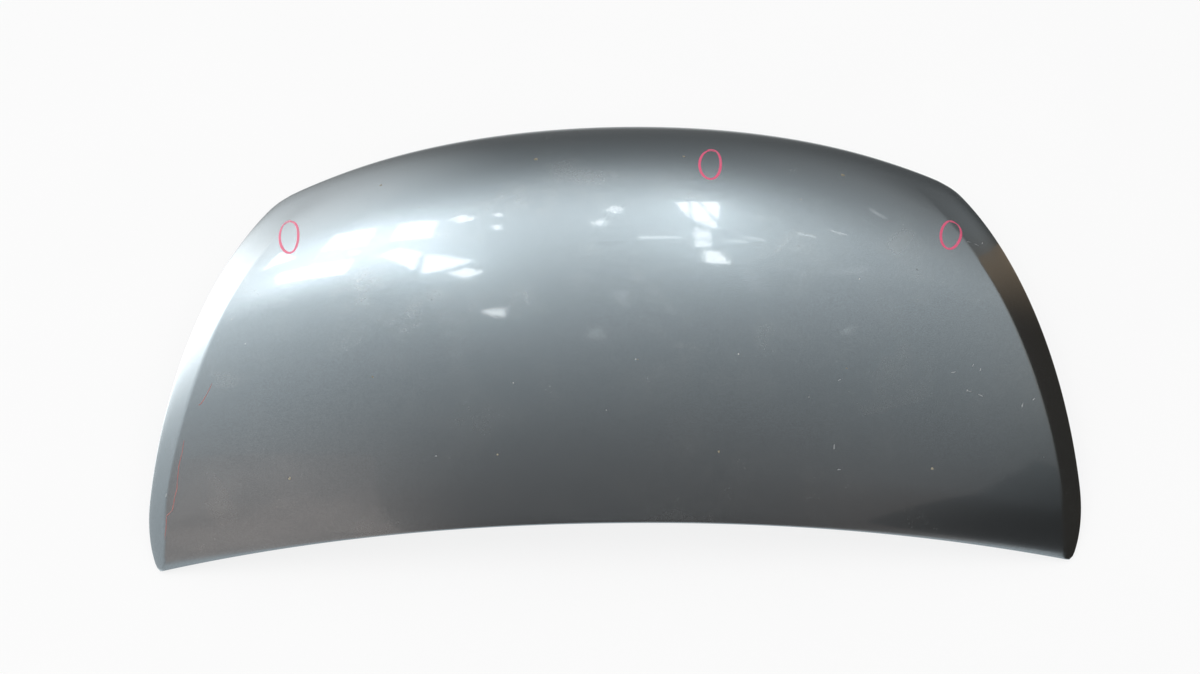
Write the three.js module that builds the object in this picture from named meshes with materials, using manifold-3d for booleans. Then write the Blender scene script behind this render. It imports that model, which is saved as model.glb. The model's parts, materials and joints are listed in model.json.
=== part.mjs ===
import * as THREE from "three";
import Module from "manifold-3d";
import { mergeVertices } from "three/addons/utils/BufferGeometryUtils.js";

// A pressed steel car bonnet, lying crown up on its four corners.
// X runs across the car, +Y runs towards the nose and +Z is up. Sizes are in millimetres.

// Outline seen from above, with the middle of the rear edge at X = 0, Y = 0
const noseReach = 825;
const rearCornerBack = 28;
const tipHalfWidth = 687;
const widestHalfWidth = 713;
const widestAt = 90;
const tipFlare = 48;
const sideHandle = 230;
const lampHandle = 180;
const lampAngle = 21;
const noseHalfWidth = 588;
const noseSweep = 84;
const noseCornerPull = 27;
const tipRounding = 14;
const noseCornerRounding = 34;

// Heights of the skin above its corners, and how full its curves are
const rearRise = 85;
const rearSlope = 14;
const rearHandle = 270;
const noseRise = 50;
const noseSlope = 42;
const noseHandle = 190;
const crownPower = 2.2;
const sideArchRear = 58;
const sideArchNose = 96;

// Shoulder crease, measured in from the side edge
const creaseTipInset = 10;
const creaseRearInset = 32;
const creaseNoseInset = 125;
const creaseTipEnd = 0.1;
const creaseGrowth = 1.5;
const creaseBend = 21;
const creaseFadeStart = 0.5;
const creaseFadeEnd = 0.9;

// Sheet metal and the hem that joins the two pressings
const skinThickness = 0.8;
const innerThickness = 0.8;
const clearance = 0.4;
const hemWidth = 11;
const innerEdgeInset = 2.7;

// Pressed inner panel
const flangeEnd = 17;
const channelDepth = 26;
const wallRun = 13;
const sideFrame = 98;
const rearFrame = 88;
const noseFrame = 122;
const ribWidth = 52;
const landDepth = 6.5;
const landWidth = 15;
const openingRadius = 46;
const ribFan = 0.24;
const groundClearance = 10;
const crossingHole = 24;
const ribHole = 16;

// Pads pressed down out of the channel floor
const padDraft = 3;
const padRounding = 10;
const padReach = 7;
const hingePadDepth = 4;
const hingePadWidth = 46;
const hingePadLength = 112;
const hingePadInset = 95;
const hingePadAlong = 78;
const hingeBoltSpacing = 64;
const hingeBoltHole = 9;

// Striker on its pedestal behind the nose
const pedestalWidth = 104;
const pedestalLength = 54;
const pedestalFromNose = 76;
const pedestalFloor = 43;
const strikerPlateWidth = 92;
const strikerPlateLength = 46;
const strikerPlateThickness = 3;
const strikerBoltSpacing = 68;
const strikerBoltDiameter = 8;
const strikerBarDiameter = 8;
const strikerBarSpacing = 30;
const strikerReach = 30;

// Plates, nuts and bolts
const reinforcementThickness = 2;
const reinforcementMargin = 5;
const nutAcrossFlats = 13;
const nutHeight = 6.5;
const boltHeadHeight = 5.3;
const boltFlangeDiameter = 17;
const boltFlangeThickness = 1.5;
const boltEnd = 2;

// Rubber buffers
const bufferDiameter = 22;
const bufferHeight = 13;
const bufferStemDiameter = 8;
const bufferBulbDiameter = 12;
const bufferBulbHeight = 6;
const bufferFrontInset = 158;
const bufferFrontFromNose = 76;
const bufferSideInset = 66;
const bufferSideAlong = 345;

// Prop rod socket
const socketPadWidth = 34;
const socketPadLength = 50;
const socketPadDepth = 4;
const socketInset = 64;
const socketAlong = 520;
const socketSlotWidth = 9;
const socketSlotLength = 24;
const socketWall = 2;
const socketFlange = 3;
const socketLip = 1.2;
const socketFlangeThickness = 1.6;

// Mastic beads
const beadDiameter = 10;
const beadSides = 8;

// Fineness of the curved surfaces
const crownColumns = 9;
const shoulderColumns = 1;
const halfColumns = crownColumns + shoulderColumns;
const columns = 2 * halfColumns;
const rows = 16;
const rowCrowding = 0.25;
const cellColumns = columns / 4;
const cellRows = rows / 2;
const roundSteps = 12;

const wasm = await Module();
wasm.setup();

const { clamp, degToRad, lerp, smoothstep } = THREE.MathUtils;

// Outline curves, for the right half
const rearTip = new THREE.Vector2(tipHalfWidth, -rearCornerBack);
const frontCorner = new THREE.Vector2(noseHalfWidth, noseReach - noseSweep - noseCornerPull);
const lampLean = degToRad(lampAngle);
const sideEdge = new THREE.Path();
sideEdge.moveTo(rearTip.x, rearTip.y);
sideEdge.quadraticCurveTo(widestHalfWidth, rearTip.y + tipFlare, widestHalfWidth, widestAt);
sideEdge.bezierCurveTo(
  widestHalfWidth,
  widestAt + sideHandle,
  frontCorner.x + lampHandle * Math.sin(lampLean),
  frontCorner.y - lampHandle * Math.cos(lampLean),
  frontCorner.x,
  frontCorner.y,
);
const sideLength = sideEdge.getLength();

function rearEdge(across) {
  return new THREE.Vector2(tipHalfWidth * across, -rearCornerBack * across ** 2);
}

function noseEdge(across) {
  const back = noseSweep * across ** 2 + noseCornerPull * across ** 5;
  return new THREE.Vector2(noseHalfWidth * across, noseReach - back);
}

// Each corner is rounded by a curve that starts on one edge and ends on the other
const tipAlongRear = 1 - tipRounding / tipHalfWidth;
const tipAlongSide = tipRounding / sideLength;
const cornerAlongNose = 1 - noseCornerRounding / noseHalfWidth;
const cornerAlongSide = 1 - noseCornerRounding / sideLength;
const tipRound = new THREE.QuadraticBezierCurve(rearEdge(tipAlongRear), rearTip, sideEdge.getPoint(tipAlongSide));
const noseRound = new THREE.QuadraticBezierCurve(
  sideEdge.getPoint(cornerAlongSide),
  frontCorner,
  noseEdge(cornerAlongNose),
);

function rearOutline(across) {
  if (across <= tipAlongRear) return rearEdge(across);
  return tipRound.getPoint(0.5 * (across - tipAlongRear) / (1 - tipAlongRear));
}

function noseOutline(across) {
  if (across <= cornerAlongNose) return noseEdge(across);
  return noseRound.getPoint(1 - 0.5 * (across - cornerAlongNose) / (1 - cornerAlongNose));
}

function sideOutline(along) {
  if (along < tipAlongSide) return tipRound.getPoint(0.5 + 0.5 * along / tipAlongSide);
  if (along <= cornerAlongSide) return sideEdge.getPoint(along);
  return noseRound.getPoint(0.5 * (along - cornerAlongSide) / (1 - cornerAlongSide));
}

// A patch between the four edges: across runs from 0 in the middle to 1 at the side edge,
// and along from 0 at the rear edge to 1 at the nose edge
const tipPoint = sideOutline(0);
const cornerPoint = sideOutline(1);

function plan(across, along) {
  const rear = rearOutline(across);
  const nose = noseOutline(across);
  const side = sideOutline(along);
  const x = lerp(rear.x, nose.x, along) + across * (side.x - lerp(tipPoint.x, cornerPoint.x, along));
  const sideShift = across * (side.y - lerp(tipPoint.y, cornerPoint.y, along));
  return new THREE.Vector2(x, lerp(rear.y, nose.y, along) + sideShift);
}

// Height of the skin along the centre line
const centreLine = new THREE.CubicBezierCurve(
  new THREE.Vector2(0, rearRise),
  new THREE.Vector2(rearHandle, rearRise + rearHandle * Math.tan(degToRad(rearSlope))),
  new THREE.Vector2(noseReach - noseHandle, noseRise + noseHandle * Math.tan(degToRad(noseSlope))),
  new THREE.Vector2(noseReach, noseRise),
);

function centreHeight(along) {
  let low = 0;
  let high = 1;
  for (let step = 0; step < 30; step += 1) {
    const middle = (low + high) / 2;
    if (centreLine.getPoint(middle).x < noseReach * along) low = middle;
    else high = middle;
  }
  return centreLine.getPoint((low + high) / 2).y;
}

function edgeHeight(along) {
  const rest = 1 - along;
  return 3 * rest * along * (rest * sideArchRear + along * sideArchNose);
}

function creaseInset(along) {
  if (along < creaseTipEnd) {
    return lerp(creaseRearInset, creaseTipInset, (1 - along / creaseTipEnd) ** 2);
  }
  const grown = ((along - creaseTipEnd) / (1 - creaseTipEnd)) ** creaseGrowth;
  return lerp(creaseRearInset, creaseNoseInset, grown);
}

function creaseAcross(along) {
  return 1 - creaseInset(along) / sideOutline(along).x;
}

// The skin is a crown up to the crease, and beyond it a straight shoulder that bends down more
function skin(u, v) {
  const across = Math.abs(u);
  const place = plan(across, v);
  const halfWidth = sideOutline(v).x;
  const inset = creaseInset(v);
  const crease = creaseAcross(v);
  const bend = Math.tan(degToRad(creaseBend)) * (1 - smoothstep(v, creaseFadeStart, creaseFadeEnd));
  const steepness = crownPower / (halfWidth * crease);
  const centre = centreHeight(v);
  const edge = edgeHeight(v);
  const creaseHeight = (edge + inset * (steepness * centre + bend)) / (1 + inset * steepness);
  const crown = centre - (centre - creaseHeight) * (across / crease) ** crownPower;
  const shoulder = lerp(creaseHeight, edge, (across - crease) / (1 - crease));
  return new THREE.Vector3(Math.sign(u) * place.x, place.y, across < crease ? crown : shoulder);
}

function skinNormal(u, v) {
  const step = 0.002;
  const a = clamp(u, -1 + 8 * step, 1 - 8 * step);
  const b = clamp(v, 8 * step, 1 - 8 * step);
  const alongX = skin(a + step, b).sub(skin(a - step, b));
  const alongY = skin(a, b + step).sub(skin(a, b - step));
  return alongX.cross(alongY).normalize();
}

function under(u, v, depth) {
  return skin(u, v).addScaledVector(skinNormal(u, v), -depth);
}

// Stations that both pressings share, so that their facets lie parallel in the hem
function columnAt(index, along, inset) {
  const steps = Math.abs(index - halfColumns);
  const halfWidth = sideOutline(along).x;
  const outermost = 1 - inset / halfWidth;
  const crease = Math.min(creaseAcross(along), outermost - shoulderColumns / halfWidth);
  const share = (steps - crownColumns) / shoulderColumns;
  const across = steps <= crownColumns ? crease * steps / crownColumns : lerp(crease, outermost, share);
  return Math.sign(index - halfColumns) * across;
}

function rowAt(index) {
  const share = index / rows;
  return share * (1 + rowCrowding - rowCrowding * share);
}

function insetPlace(column, row, side, rear, nose) {
  const along = lerp(rear / noseReach, 1 - nose / noseReach, rowAt(row));
  return [columnAt(column, along, side), along];
}

// Grid indices round a block of the grid, counterclockwise from its rear left corner
function blockEdge(left, rear, width, height) {
  const places = [];
  for (let step = 0; step < width; step += 1) places.push([left + step, rear]);
  for (let step = 0; step < height; step += 1) places.push([left + width, rear + step]);
  for (let step = 0; step < width; step += 1) places.push([left + width - step, rear + height]);
  for (let step = 0; step < height; step += 1) places.push([left, rear + height - step]);
  return places;
}

// Ring of points at a constant distance in from the rim
function rimLoop(inset, depth) {
  return blockEdge(0, 0, columns, rows).map(([column, row]) => {
    const [u, v] = insetPlace(column, row, inset, inset, inset);
    return under(u, v, depth);
  });
}

// An open surface that is thickened into a closed sheet
class Sheet {
  constructor() {
    this.points = [];
    this.faces = [];
  }

  add(point) {
    return this.points.push(point) - 1;
  }

  addLoop(points) {
    return points.map((point) => this.add(point));
  }

  // Split along the shorter diagonal, so that both pressings are split alike
  quad(a, b, c, d) {
    const [cornerA, cornerB, cornerC, cornerD] = [a, b, c, d].map((index) => this.points[index]);
    if (cornerA.distanceTo(cornerC) < cornerB.distanceTo(cornerD)) this.faces.push([a, b, c], [a, c, d]);
    else this.faces.push([a, b, d], [b, c, d]);
  }

  bridge(outer, inner) {
    outer.forEach((start, step) => {
      const next = (step + 1) % outer.length;
      this.quad(start, outer[next], inner[next], inner[step]);
    });
  }

  cap(loop) {
    const middle = new THREE.Vector3();
    loop.forEach((index) => middle.addScaledVector(this.points[index], 1 / loop.length));
    const hub = this.add(middle);
    loop.forEach((start, step) => this.faces.push([start, loop[(step + 1) % loop.length], hub]));
  }
}

function meshGeometry(points, faces) {
  const geometry = new THREE.BufferGeometry();
  const places = points.flatMap((point) => [point.x, point.y, point.z]);
  geometry.setAttribute("position", new THREE.Float32BufferAttribute(places, 3));
  geometry.setIndex(faces.flat());
  return geometry;
}

// Closes a surface with a back face, which backOf places for each point, and walls at its free edges
function closeSheet(sheet, backOf) {
  const count = sheet.points.length;
  const back = sheet.points.map(backOf);
  const used = new Set(sheet.faces.flatMap(([a, b, c]) => [`${a} ${b}`, `${b} ${c}`, `${c} ${a}`]));
  const faces = [...sheet.faces];
  sheet.faces.forEach(([a, b, c]) => {
    faces.push([a + count, c + count, b + count]);
    [[a, b], [b, c], [c, a]].forEach(([start, end]) => {
      if (used.has(`${end} ${start}`)) return;
      faces.push([end, start, start + count], [end, start + count, end + count]);
    });
  });
  return meshGeometry([...sheet.points, ...back], faces);
}

function thicken(sheet, thickness) {
  const around = sheet.points.map(() => []);
  sheet.faces.forEach((face) => {
    const [a, b, c] = face.map((index) => sheet.points[index]);
    const normal = new THREE.Triangle(a, b, c).getNormal(new THREE.Vector3());
    face.forEach((index, corner) => {
      const toNext = sheet.points[face[(corner + 1) % 3]].clone().sub(sheet.points[index]);
      const toLast = sheet.points[face[(corner + 2) % 3]].clone().sub(sheet.points[index]);
      around[index].push([normal, toNext.angleTo(toLast)]);
    });
  });
  return closeSheet(sheet, (point, index) => {
    const mean = new THREE.Vector3();
    around[index].forEach(([normal, angle]) => mean.addScaledVector(normal, angle));
    mean.normalize();
    const total = around[index].reduce((sum, [, angle]) => sum + angle, 0);
    const facing = around[index].reduce((sum, [normal, angle]) => sum + angle * normal.dot(mean), 0);
    return point.clone().addScaledVector(mean, -thickness * total / facing);
  });
}

function toSolid(geometry) {
  const plain = geometry.clone();
  plain.deleteAttribute("normal");
  plain.deleteAttribute("uv");
  const merged = mergeVertices(plain, 1e-4);
  return new wasm.Manifold(new wasm.Mesh({
    numProp: 3,
    vertProperties: merged.attributes.position.array,
    triVerts: Uint32Array.from(merged.index.array),
  }));
}

function toGeometry(solid) {
  const { vertProperties, triVerts } = solid.getMesh();
  const geometry = new THREE.BufferGeometry();
  geometry.setAttribute("position", new THREE.BufferAttribute(vertProperties, 3));
  geometry.setIndex(new THREE.BufferAttribute(triVerts, 1));
  return geometry;
}

// Skin with its edge folded under and back over the flange of the inner panel
const slotDepth = skinThickness + clearance + innerThickness + clearance;
const hemThickness = slotDepth + skinThickness;
const foldRadius = hemThickness / 2;
const foldSteps = 3;
const flangeTop = skinThickness + clearance;

function makeOuterPanel() {
  const sheet = new Sheet();
  const grid = [];
  for (let row = 0; row <= rows; row += 1) {
    const line = [];
    for (let column = 0; column <= columns; column += 1) {
      const [u, v] = insetPlace(column, row, flangeEnd, flangeEnd, flangeEnd);
      line.push(sheet.add(under(u, v, 0)));
    }
    grid.push(line);
  }
  for (let row = 0; row < rows; row += 1) {
    for (let column = 0; column < columns; column += 1) {
      sheet.quad(grid[row][column], grid[row][column + 1], grid[row + 1][column + 1], grid[row + 1][column]);
    }
  }
  let last = blockEdge(0, 0, columns, rows).map(([column, row]) => grid[row][column]);
  const lowered = sheet.addLoop(rimLoop(hemWidth, 0));
  sheet.bridge(lowered, last);
  last = lowered;
  for (let step = 0; step <= foldSteps; step += 1) {
    const angle = Math.PI * step / foldSteps;
    const inset = foldRadius * (1 - Math.sin(angle));
    const loop = sheet.addLoop(rimLoop(inset, foldRadius * (1 - Math.cos(angle))));
    sheet.bridge(loop, last);
    last = loop;
  }
  sheet.bridge(sheet.addLoop(rimLoop(hemWidth, hemThickness)), last);
  return thicken(sheet, skinThickness);
}

// Depth of the channel floor below the skin, which rises near the corners that touch the ground
function floorDepth(u, v) {
  return clamp(skin(u, v).z - groundClearance, landDepth, channelDepth);
}

function framePlace(column, row) {
  const [u, v] = insetPlace(column, row, sideFrame, rearFrame, noseFrame);
  return [u * (1 - ribFan * v * (1 - u * u)), v];
}

// Points round a rectangle with rounded corners, counterclockwise from the middle of its first
// corner. Each corner takes a number of steps on either side of its middle
function roundedLoop(halfWidth, halfLength, radius, widthSteps, lengthSteps, cornerSteps) {
  const corners = [[-1, -1], [1, -1], [1, 1], [-1, 1]];
  return corners.flatMap(([signX, signY], corner) => {
    const steps = corner % 2 === 0 ? widthSteps : lengthSteps;
    const straight = 2 * ((corner % 2 === 0 ? halfWidth : halfLength) - radius);
    const centre = new THREE.Vector2(signX * (halfWidth - radius), signY * (halfLength - radius));
    const heading = corner * Math.PI / 2;
    const points = [];
    for (let step = 0; step < steps; step += 1) {
      const turned = clamp(step, 0, cornerSteps) + clamp(step - steps + cornerSteps, 0, cornerSteps);
      const angle = heading + (turned / cornerSteps - 3) * Math.PI / 4;
      const run = straight * clamp((step - cornerSteps) / (steps - 2 * cornerSteps), 0, 1);
      const x = centre.x + run * Math.cos(heading) + radius * Math.cos(angle);
      const y = centre.y + run * Math.sin(heading) + radius * Math.sin(angle);
      points.push(new THREE.Vector2(x, y));
    }
    return points;
  });
}

// The frame of the inner panel. Raised, it has the walls and lands of the pressing, and otherwise
// it is only the smooth channel floor, with its openings closed
function frameSheet(raised, drop) {
  const sheet = new Sheet();
  const pointAt = (u, v, level) => {
    const depth = raised && level ? level : floorDepth(u, v);
    return under(u, v, depth + drop);
  };
  const rings = [[innerEdgeInset, flangeTop], [hemWidth, flangeTop], [flangeEnd, flangeTop], [flangeEnd + wallRun, 0]];
  const loops = rings.map(([inset, level]) => sheet.addLoop(
    blockEdge(0, 0, columns, rows).map(([column, row]) => {
      const [u, v] = insetPlace(column, row, inset, inset, inset);
      return pointAt(u, v, level);
    }),
  ));
  const shared = new Map();
  const framePoint = ([column, row]) => {
    const key = `${column} ${row}`;
    if (!shared.has(key)) shared.set(key, sheet.add(pointAt(...framePlace(column, row), 0)));
    return shared.get(key);
  };
  loops.push(blockEdge(0, 0, columns, rows).map(framePoint));
  loops.slice(1).forEach((loop, step) => sheet.bridge(loops[step], loop));
  for (let left = 0; left < columns; left += cellColumns) {
    for (let rear = 0; rear < rows; rear += cellRows) {
      const boundary = blockEdge(left, rear, cellColumns, cellRows).map(framePoint);
      const edge = openingRings(left, rear).reduce((last, { places, level }) => {
        const loop = sheet.addLoop(places.map(([u, v]) => pointAt(u, v, level)));
        sheet.bridge(last, loop);
        return loop;
      }, boundary);
      if (!raised) sheet.cap(edge);
    }
  }
  return sheet;
}

// Half the width and half the length of a block of the frame, along its middle lines
function cellSize(left, rear) {
  const at = (column, row) => skin(...framePlace(column, row));
  const middleColumn = left + cellColumns / 2;
  const middleRow = rear + cellRows / 2;
  return [
    at(left, middleRow).distanceTo(at(left + cellColumns, middleRow)) / 2,
    at(middleColumn, rear).distanceTo(at(middleColumn, rear + cellRows)) / 2,
  ];
}

// A place inside a block of the frame, by its shares of the block's width and length
function blockPlace(left, rear, shareAcross, shareAlong) {
  const row = rear + cellRows * shareAlong;
  const [first, along] = framePlace(left, row);
  const [last] = framePlace(left + cellColumns, row);
  return [lerp(first, last, shareAcross), along];
}

// A rounded ring inside a block, given by how far it stands in from the foot of the opening's wall
function openingRing(left, rear, inset, radius) {
  const [halfWidth, halfLength] = cellSize(left, rear);
  const leftRib = left === 0 ? 0 : ribWidth / 2;
  const rightRib = left + cellColumns === columns ? 0 : ribWidth / 2;
  const rearRib = rear === 0 ? 0 : ribWidth / 2;
  const noseRib = rear + cellRows === rows ? 0 : ribWidth / 2;
  const width = halfWidth - (leftRib + rightRib) / 2 - inset;
  const length = halfLength - (rearRib + noseRib) / 2 - inset;
  return roundedLoop(width, length, radius, cellColumns, cellRows, 2).map((point) => blockPlace(
    left,
    rear,
    0.5 + 0.5 * (point.x + (leftRib - rightRib) / 2) / halfWidth,
    0.5 + 0.5 * (point.y + (rearRib - noseRib) / 2) / halfLength,
  ));
}

function openingRings(left, rear) {
  return [
    { places: openingRing(left, rear, 0, openingRadius), level: 0 },
    { places: openingRing(left, rear, wallRun, openingRadius), level: landDepth },
    { places: openingRing(left, rear, wallRun + landWidth, openingRadius - landWidth), level: landDepth },
  ];
}

// Distance from a point to a mesh, along a direction
function distanceTo(mesh, from, direction) {
  const [hit] = new THREE.Raycaster(from, direction.clone().normalize()).intersectObject(mesh);
  return hit.distance;
}

// The channel floor, on which the pads are pressed
const bothSides = new THREE.MeshStandardMaterial({ side: THREE.DoubleSide });
const floorSheet = frameSheet(false, 0);
const floorMesh = new THREE.Mesh(meshGeometry(floorSheet.points, floorSheet.faces), bothSides);
const down = new THREE.Vector3(0, 0, -1);

function floorPoint(x, y) {
  const start = new THREE.Vector3(x, y, noseReach);
  return start.addScaledVector(down, distanceTo(floorMesh, start, down));
}

// A frame of reference on the floor at X and Y, square to the floor there
function seatOnFloor(x, y) {
  const span = padRounding;
  const right = floorPoint(x + span, y).sub(floorPoint(x - span, y));
  const ahead = floorPoint(x, y + span).sub(floorPoint(x, y - span));
  const up = right.clone().cross(ahead).normalize();
  const forward = up.clone().cross(new THREE.Vector3(1, 0, 0)).normalize();
  return new THREE.Matrix4().makeBasis(forward.clone().cross(up), forward, up).setPosition(floorPoint(x, y));
}

// A block between two rounded rectangles, one above the other
function taperedBlock(width, length, radius, bottom, top, draft) {
  const sheet = new Sheet();
  const loopAt = (grown, height) => sheet.addLoop(
    roundedLoop(width / 2 + grown, length / 2 + grown, radius + grown, 3, 3, 1)
      .map((point) => new THREE.Vector3(point.x, point.y, height)),
  );
  const low = loopAt(0, bottom);
  const high = loopAt(draft, top);
  sheet.bridge(low, high);
  sheet.cap(high);
  sheet.cap([...low].reverse());
  return meshGeometry(sheet.points, sheet.faces);
}

// Presses a flat-bottomed pad down out of the channel floor
function pressPad(panel, below, seat, pad) {
  const size = [pad.width, pad.length, pad.radius];
  const outer = taperedBlock(...size, -pad.depth - innerThickness, pad.rise, pad.draft);
  const narrower = innerThickness;
  const inner = taperedBlock(
    pad.width - 2 * narrower,
    pad.length - 2 * narrower,
    pad.radius - narrower,
    -pad.depth,
    pad.rise + innerThickness,
    pad.draft,
  );
  const outerSolid = toSolid(outer.applyMatrix4(seat));
  const innerSolid = toSolid(inner.applyMatrix4(seat));
  const cup = outerSolid.subtract(innerSolid).intersect(below);
  return panel.subtract(innerSolid).add(cup);
}

function roundBar(diameter, bottom, top, sides = roundSteps) {
  const bar = new THREE.CylinderGeometry(diameter / 2, diameter / 2, top - bottom, sides);
  return bar.rotateX(Math.PI / 2).translate(0, 0, (top + bottom) / 2);
}

function drill(panel, seat, x, y, diameter, reach) {
  return panel.subtract(toSolid(roundBar(diameter, -reach, reach).translate(x, y, 0).applyMatrix4(seat)));
}

// Rounded slot or rectangle as a plate, from one height to another
function roundedPlate(width, length, radius, bottom, top) {
  const loop = roundedLoop(width / 2, length / 2, radius, 5, 5, 2);
  const shape = new THREE.Shape(loop);
  return new THREE.ExtrudeGeometry(shape, { depth: top - bottom, bevelEnabled: false }).translate(0, 0, bottom);
}

function hexPrism(acrossFlats, bottom, top) {
  return roundBar(acrossFlats / Math.cos(Math.PI / 6), bottom, top, 6);
}

function join(...geometries) {
  return geometries.map(toSolid).reduce((whole, next) => whole.add(next));
}

function bore(solid, geometry) {
  return solid.subtract(toSolid(geometry));
}

// Finishes, with the colours that the photograph shows or that such pieces have
const bodyPaint = new THREE.MeshStandardMaterial({ color: 0x8b9296, roughness: 0.25, metalness: 0.6 });
const innerPaint = new THREE.MeshStandardMaterial({ color: 0x858b8f, roughness: 0.5, metalness: 0.4 });
const primedSteel = new THREE.MeshStandardMaterial({ color: 0x5e6366, roughness: 0.6, metalness: 0.5 });
const zincSteel = new THREE.MeshStandardMaterial({ color: 0xb9bab2, roughness: 0.35, metalness: 0.9 });
const blackRubber = new THREE.MeshStandardMaterial({ color: 0x1b1b1c, roughness: 0.85, metalness: 0 });
const blackPlastic = new THREE.MeshStandardMaterial({ color: 0x202124, roughness: 0.6, metalness: 0 });
const mastic = new THREE.MeshStandardMaterial({ color: 0x8f8a7c, roughness: 0.9, metalness: 0 });

const bonnet = new THREE.Group();

function addPiece(name, geometry, finish, seat = new THREE.Matrix4()) {
  const piece = new THREE.Mesh(geometry, finish.clone());
  piece.name = name;
  piece.applyMatrix4(seat);
  bonnet.add(piece);
  return piece;
}

const sides = [["left", -1], ["right", 1]];
const ends = [["rear", -1], ["front", 1]];

// The distance from the centre line to a place beside the side edge
function besideEdge(y, inset) {
  return sideOutline((y - tipPoint.y) / (cornerPoint.y - tipPoint.y)).x - inset;
}

const hingePadAcross = besideEdge(hingePadAlong, hingePadInset);
const hingeSeats = sides.map(([, sign]) => seatOnFloor(sign * hingePadAcross, hingePadAlong));
const bufferFrontAcross = noseHalfWidth - bufferFrontInset;
const bufferFrontY = noseEdge(bufferFrontAcross / noseHalfWidth).y - bufferFrontFromNose;
const bufferSeats = sides.flatMap(([side, sign]) => [
  [`front_${side}`, seatOnFloor(sign * bufferFrontAcross, bufferFrontY)],
  [`side_${side}`, seatOnFloor(sign * besideEdge(bufferSideAlong, bufferSideInset), bufferSideAlong)],
]);
const socketSeat = seatOnFloor(-besideEdge(socketAlong, socketInset), socketAlong);
const pedestalY = noseReach - pedestalFromNose;
const pedestalSeat = new THREE.Matrix4().makeTranslation(0, pedestalY, pedestalFloor + innerThickness);

// Lower face of the socket's pad, measured from its seat
const socketPadFace = -socketPadDepth - innerThickness;

function boltPlaces(spacing, alongY) {
  return [-spacing / 2, spacing / 2].map((place) => (alongY ? [0, place] : [place, 0]));
}

function makeInnerPanel() {
  const floorTop = frameSheet(false, innerThickness / 2);
  const deep = new THREE.Vector3(0, 0, -2 * noseReach);
  const below = toSolid(closeSheet(floorTop, (point) => point.clone().add(deep)));
  let panel = toSolid(thicken(frameSheet(true, 0), innerThickness));
  const press = (seat, depth, width, length, radius, rise) => {
    panel = pressPad(panel, below, seat, { depth, width, length, radius, rise, draft: padDraft });
  };
  hingeSeats.forEach((seat) => {
    press(seat, hingePadDepth, hingePadWidth, hingePadLength, padRounding, padReach);
    boltPlaces(hingeBoltSpacing, true).forEach(([x, y]) => {
      panel = drill(panel, seat, x, y, hingeBoltHole, 2 * hingePadDepth);
    });
  });
  bufferSeats.forEach(([, seat]) => {
    panel = drill(panel, seat, 0, 0, bufferStemDiameter + 2 * clearance, bufferHeight);
  });
  for (let column = cellColumns; column < columns; column += cellColumns) {
    [cellRows / 2, cellRows, 1.5 * cellRows].forEach((row) => {
      const place = skin(...framePlace(column, row));
      const diameter = row === cellRows ? crossingHole : ribHole;
      panel = drill(panel, seatOnFloor(place.x, place.y), 0, 0, diameter, channelDepth / 2);
    });
  }
  press(socketSeat, socketPadDepth, socketPadWidth, socketPadLength, padRounding, padReach);
  const bodyGap = 2 * (socketWall + clearance);
  const slot = roundedPlate(
    socketSlotWidth + bodyGap,
    socketSlotLength + bodyGap,
    (socketSlotWidth + bodyGap) / 2.05,
    2 * socketPadFace,
    padReach,
  );
  panel = bore(panel, slot.applyMatrix4(socketSeat));
  const pedestalRear = pedestalY - pedestalLength / 2 - padDraft;
  const pedestalRise = floorPoint(0, pedestalRear).z - pedestalFloor + padReach;
  press(pedestalSeat, 0, pedestalWidth, pedestalLength, padRounding, pedestalRise);
  boltPlaces(strikerBoltSpacing, false).forEach(([x, y]) => {
    panel = drill(panel, pedestalSeat, x, y, strikerBoltDiameter + 2 * clearance, 2 * innerThickness);
  });
  return toGeometry(panel);
}

addPiece("outer_panel", makeOuterPanel(), bodyPaint);
addPiece("inner_panel", makeInnerPanel(), innerPaint);

function weldNut(threadDiameter, bottom) {
  const body = join(
    hexPrism(nutAcrossFlats, bottom, bottom + nutHeight),
    roundBar(nutAcrossFlats * 1.25, bottom, bottom + boltFlangeThickness),
  );
  return toGeometry(bore(body, roundBar(threadDiameter, bottom - 1, bottom + nutHeight + 1)));
}

// A thick plate that lies in a pad, with holes for its bolts
function reinforcement(width, length, bottom, holes, holeDiameter) {
  const top = bottom + reinforcementThickness;
  const plate = toSolid(roundedPlate(width, length, padRounding - reinforcementMargin / 2, bottom, top));
  return holes.reduce(
    (solid, [x, y]) => bore(solid, roundBar(holeDiameter, bottom - 1, top + 1).translate(x, y, 0)),
    plate,
  );
}

const hingeBolts = boltPlaces(hingeBoltSpacing, true);
const strikerBolts = boltPlaces(strikerBoltSpacing, false);
const hingePlateBottom = -hingePadDepth + clearance;
const hingeNutBottom = hingePlateBottom + reinforcementThickness + clearance;

sides.forEach(([side], index) => {
  const seat = hingeSeats[index];
  const plate = reinforcement(
    hingePadWidth - 2 * reinforcementMargin,
    hingePadLength - 2 * reinforcementMargin,
    hingePlateBottom,
    hingeBolts,
    hingeBoltHole,
  );
  addPiece(`hinge_reinforcement_${side}`, toGeometry(plate), primedSteel, seat);
  ends.forEach(([end], bolt) => {
    const [x, y] = hingeBolts[bolt];
    const nutSeat = seat.clone().multiply(new THREE.Matrix4().makeTranslation(x, y, 0));
    addPiece(`hinge_nut_${side}_${end}`, weldNut(strikerBoltDiameter, hingeNutBottom), zincSteel, nutSeat);
  });
});

// Striker: plate under the pedestal, bar through the plate, bolts up into nuts on the inner plate
const strikerPlateTop = -innerThickness - clearance;
const strikerPlateBottom = strikerPlateTop - strikerPlateThickness;
const boltHole = strikerBoltDiameter + 2 * clearance;
const barHole = strikerBarDiameter + 2 * clearance;

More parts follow.
